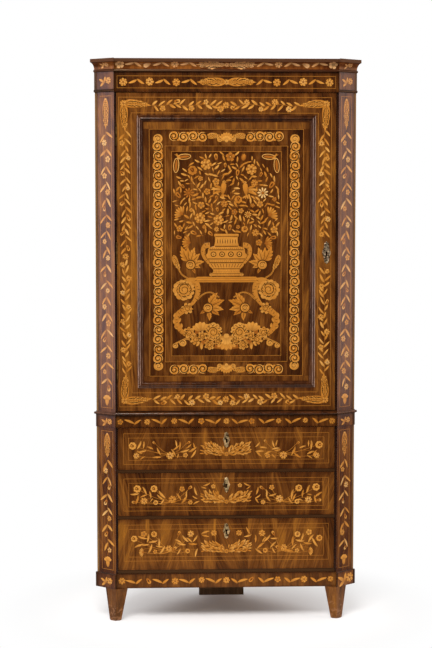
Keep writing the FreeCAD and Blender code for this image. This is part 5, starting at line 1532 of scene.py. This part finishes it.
def keyhole_plate(node, body, place, half_u, half_v, finish):
    """Radius = hole + (outline - hole) * way. Height = a rim near the outline, a hollow, and a collar at the
    hole."""
    ways = np.concatenate([[0.0], np.linspace(0, 1, 15), [1.0]])
    angle, way = np.linspace(0, 2 * np.pi, PLATE_TURNS, endpoint=False)[None], ways[:, None]
    lobes = 1 + 0.10 * np.cos(6 * angle) + 0.05 * np.cos(12 * angle)
    tip = 1 - 0.28 * np.abs(np.sin(2 * angle)) ** 1.5
    u1, v1 = half_u * np.cos(angle) * lobes * 0.92, half_v * np.sin(angle) * tip * lobes * 0.97
    hole = keyhole(angle)
    u0, v0 = hole * np.cos(angle), hole * np.sin(angle) - HOLE_RISE
    rim = np.exp(-((way - 0.86) / 0.08) ** 2) + 0.8 * np.exp(-((way - 0.12) / 0.10) ** 2)
    flutes = 0.35 * np.sin(np.pi * way) * np.cos(12 * angle)
    height = PLATE_THICK + RIM_HEIGHT * rim + flutes
    height[[0, -1]] = PLATE_FOOT
    points = place(u0 + (u1 - u0) * way, v0 + (v1 - v0) * way, height).reshape(-1, 3)
    ids = np.arange(ways.size * PLATE_TURNS).reshape(ways.size, PLATE_TURNS)
    piece = new_piece(f"{node}_cast", body, points, wrapped_quads(ids, True), finish)
    piece.data.shade_smooth()
    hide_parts(node)
    print(piece.name, len(piece.data.polygons), "faces")


PLATES = [("door", 15, 45, browned_brass), *[(f"drawer_{n}", 12, 32, cast_brass) for n in (1, 2, 3)]]
for body, half_u, half_v, finish in PLATES:
    node = f"{body}_escutcheon"
    low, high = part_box(node)
    on_plate = flat(((low[0] + high[0]) / 2, FRONT_Y, (low[2] + high[2]) / 2))
    keyhole_plate(node, body, on_plate, half_u, half_v, finish)
    # Painted shade: a black disc and slot under each plate stand for the dark of the keyhole, which the veneer
    # covers.
    lay(f"{node}_keyhole_painted_shade", body, on_plate, [discs((0, 0), 5.6, 0.0, 0.0, 0), batch([[(0, 0), (0, -14)]], 3.8, 0.0)])

# %% [markdown]
# The studio is plain. The floor is a pale sheet of paint that darkens out of sight and shows pure white to
# the camera further out, so the cabinet keeps its shadow on a white ground.

# %% The floor
FLOOR_HALF, FLOOR_ROUGH = 30, 0.9
reach = FLOOR_HALF * np.array([(-1, -1, 0), (1, -1, 0), (1, 1, 0), (-1, 1, 0)], float)
ground = bpy.data.meshes.new("floor")
ground.from_pydata(reach, [], [(0, 1, 2, 3)])
floor = bpy.data.objects.new("floor", ground)
bpy.context.collection.objects.link(floor)
pale, tree, surface = blank("floor_paint")
away = add(tree, "VectorMath", {0: add(tree, "TexCoord").outputs["Object"]}, operation="LENGTH").outputs["Value"]
far_out = add(tree, "Math", {0: away, 1: 0.25}, operation="MULTIPLY")
sheet_end = add(tree, "ValToRGB", {"Fac": far_out}, [(0.14, "#f6f5f4"), (0.30, "#5a5856")])
fill(tree, surface, {"Base Color": sheet_end, "Roughness": FLOOR_ROUGH})
seen = add(tree, "LightPath").outputs["Is Camera Ray"]
beyond = add(tree, "MapRange", {"Value": away, "From Min": 0.1, "From Max": 0.9, "To Max": seen},
             interpolation_type="SMOOTHSTEP")
white = add(tree, "Emission", {"Color": linear("#ffffff"), "Strength": 1.0})
paper = add(tree, "MixShader", {0: beyond, 1: surface, 2: white})
fill(tree, tree.nodes["Material Output"], {"Surface": paper})
ground.materials.append(pale)
print("floor of", 2 * FLOOR_HALF, "metres")

# %% [markdown]
# The light is soft: a large lamp in front, two tall lamps at the sides and an even light from everywhere. The
# canted faces act like dull mirrors for the side lamps, which is where their pale sheen comes from, and two
# narrow strips draw the bright lines on the moulding. A picture of a room could light the scene, but a few
# lamps are easier to steer. They are given by name, place, aim, width, height, power in watts and colour. The
# camera sees a white background, and polished wood sees a bright room behind.

# %% Lamps and background
LAMPS = (("front_lamp", (-1.2, -4.6, 5.6), (0, 0, 1.0), 2.5, 2.5, 420, "#ffffff"),
         ("left_lamp", (-3.4, -0.9, 1.4), (-0.4, 0, 1.4), 1.2, 2.0, 20, "#ffe9ea"),
         ("right_lamp", (3.4, -0.7, 1.4), (0.4, 0, 1.4), 1.2, 2.0, 23, "#ffdac8"),
         ("left_strip", (-3.0, -1.74, 1.25), (-0.3, -0.2, 1.25), 0.3, 1.8, 17, "#ffe9e4"),
         ("right_strip", (3.0, -1.39, 1.25), (0.3, -0.2, 1.25), 0.3, 1.8, 13, "#ffe9e4"))
AMBIENT, DIM_ROOM = 0.58, 0.05
for name, at, aim, width, height, power, colour in LAMPS:
    made = bpy.data.objects.new(name, bpy.data.lights.new(name, "AREA"))
    lamp = made.data
    lamp.shape, lamp.size, lamp.size_y = "RECTANGLE", width, height
    lamp.energy, lamp.color = power, linear(colour)[:3]
    look = np.array(aim, float) - at
    made.location, made.visible_camera = at, False
    made.rotation_euler = (math.atan2(math.hypot(look[0], look[1]), -look[2]), 0, math.atan2(-look[0], look[1]))
    bpy.context.collection.objects.link(made)

world = bpy.data.worlds.new("studio")
bpy.context.scene.world = world
world.use_nodes = True
sky, path = world.node_tree, add(world.node_tree, "LightPath").outputs
mirror = add(sky, "Math", {0: path["Is Glossy Ray"], 1: path["Is Transmission Ray"]}, operation="MAXIMUM")
towards = add(sky, "SeparateXYZ", {0: add(sky, "TexCoord").outputs["Generated"]})
room = add(sky, "MapRange", {"Value": towards.outputs["Y"], "From Min": -0.1, "From Max": 0.45, "To Min": DIM_ROOM},
           interpolation_type="SMOOTHSTEP")
strength = add(sky, "Mix", {"Factor": mirror, "A": AMBIENT, "B": room})
strength = add(sky, "Mix", {"Factor": path["Is Camera Ray"], "A": strength, "B": 1.0})
fill(sky, sky.nodes["Background"], {"Strength": strength, "Color": linear("#ffffff")})
bpy.context.scene.view_settings.view_transform = "Standard"
print(len(LAMPS), "lamps")
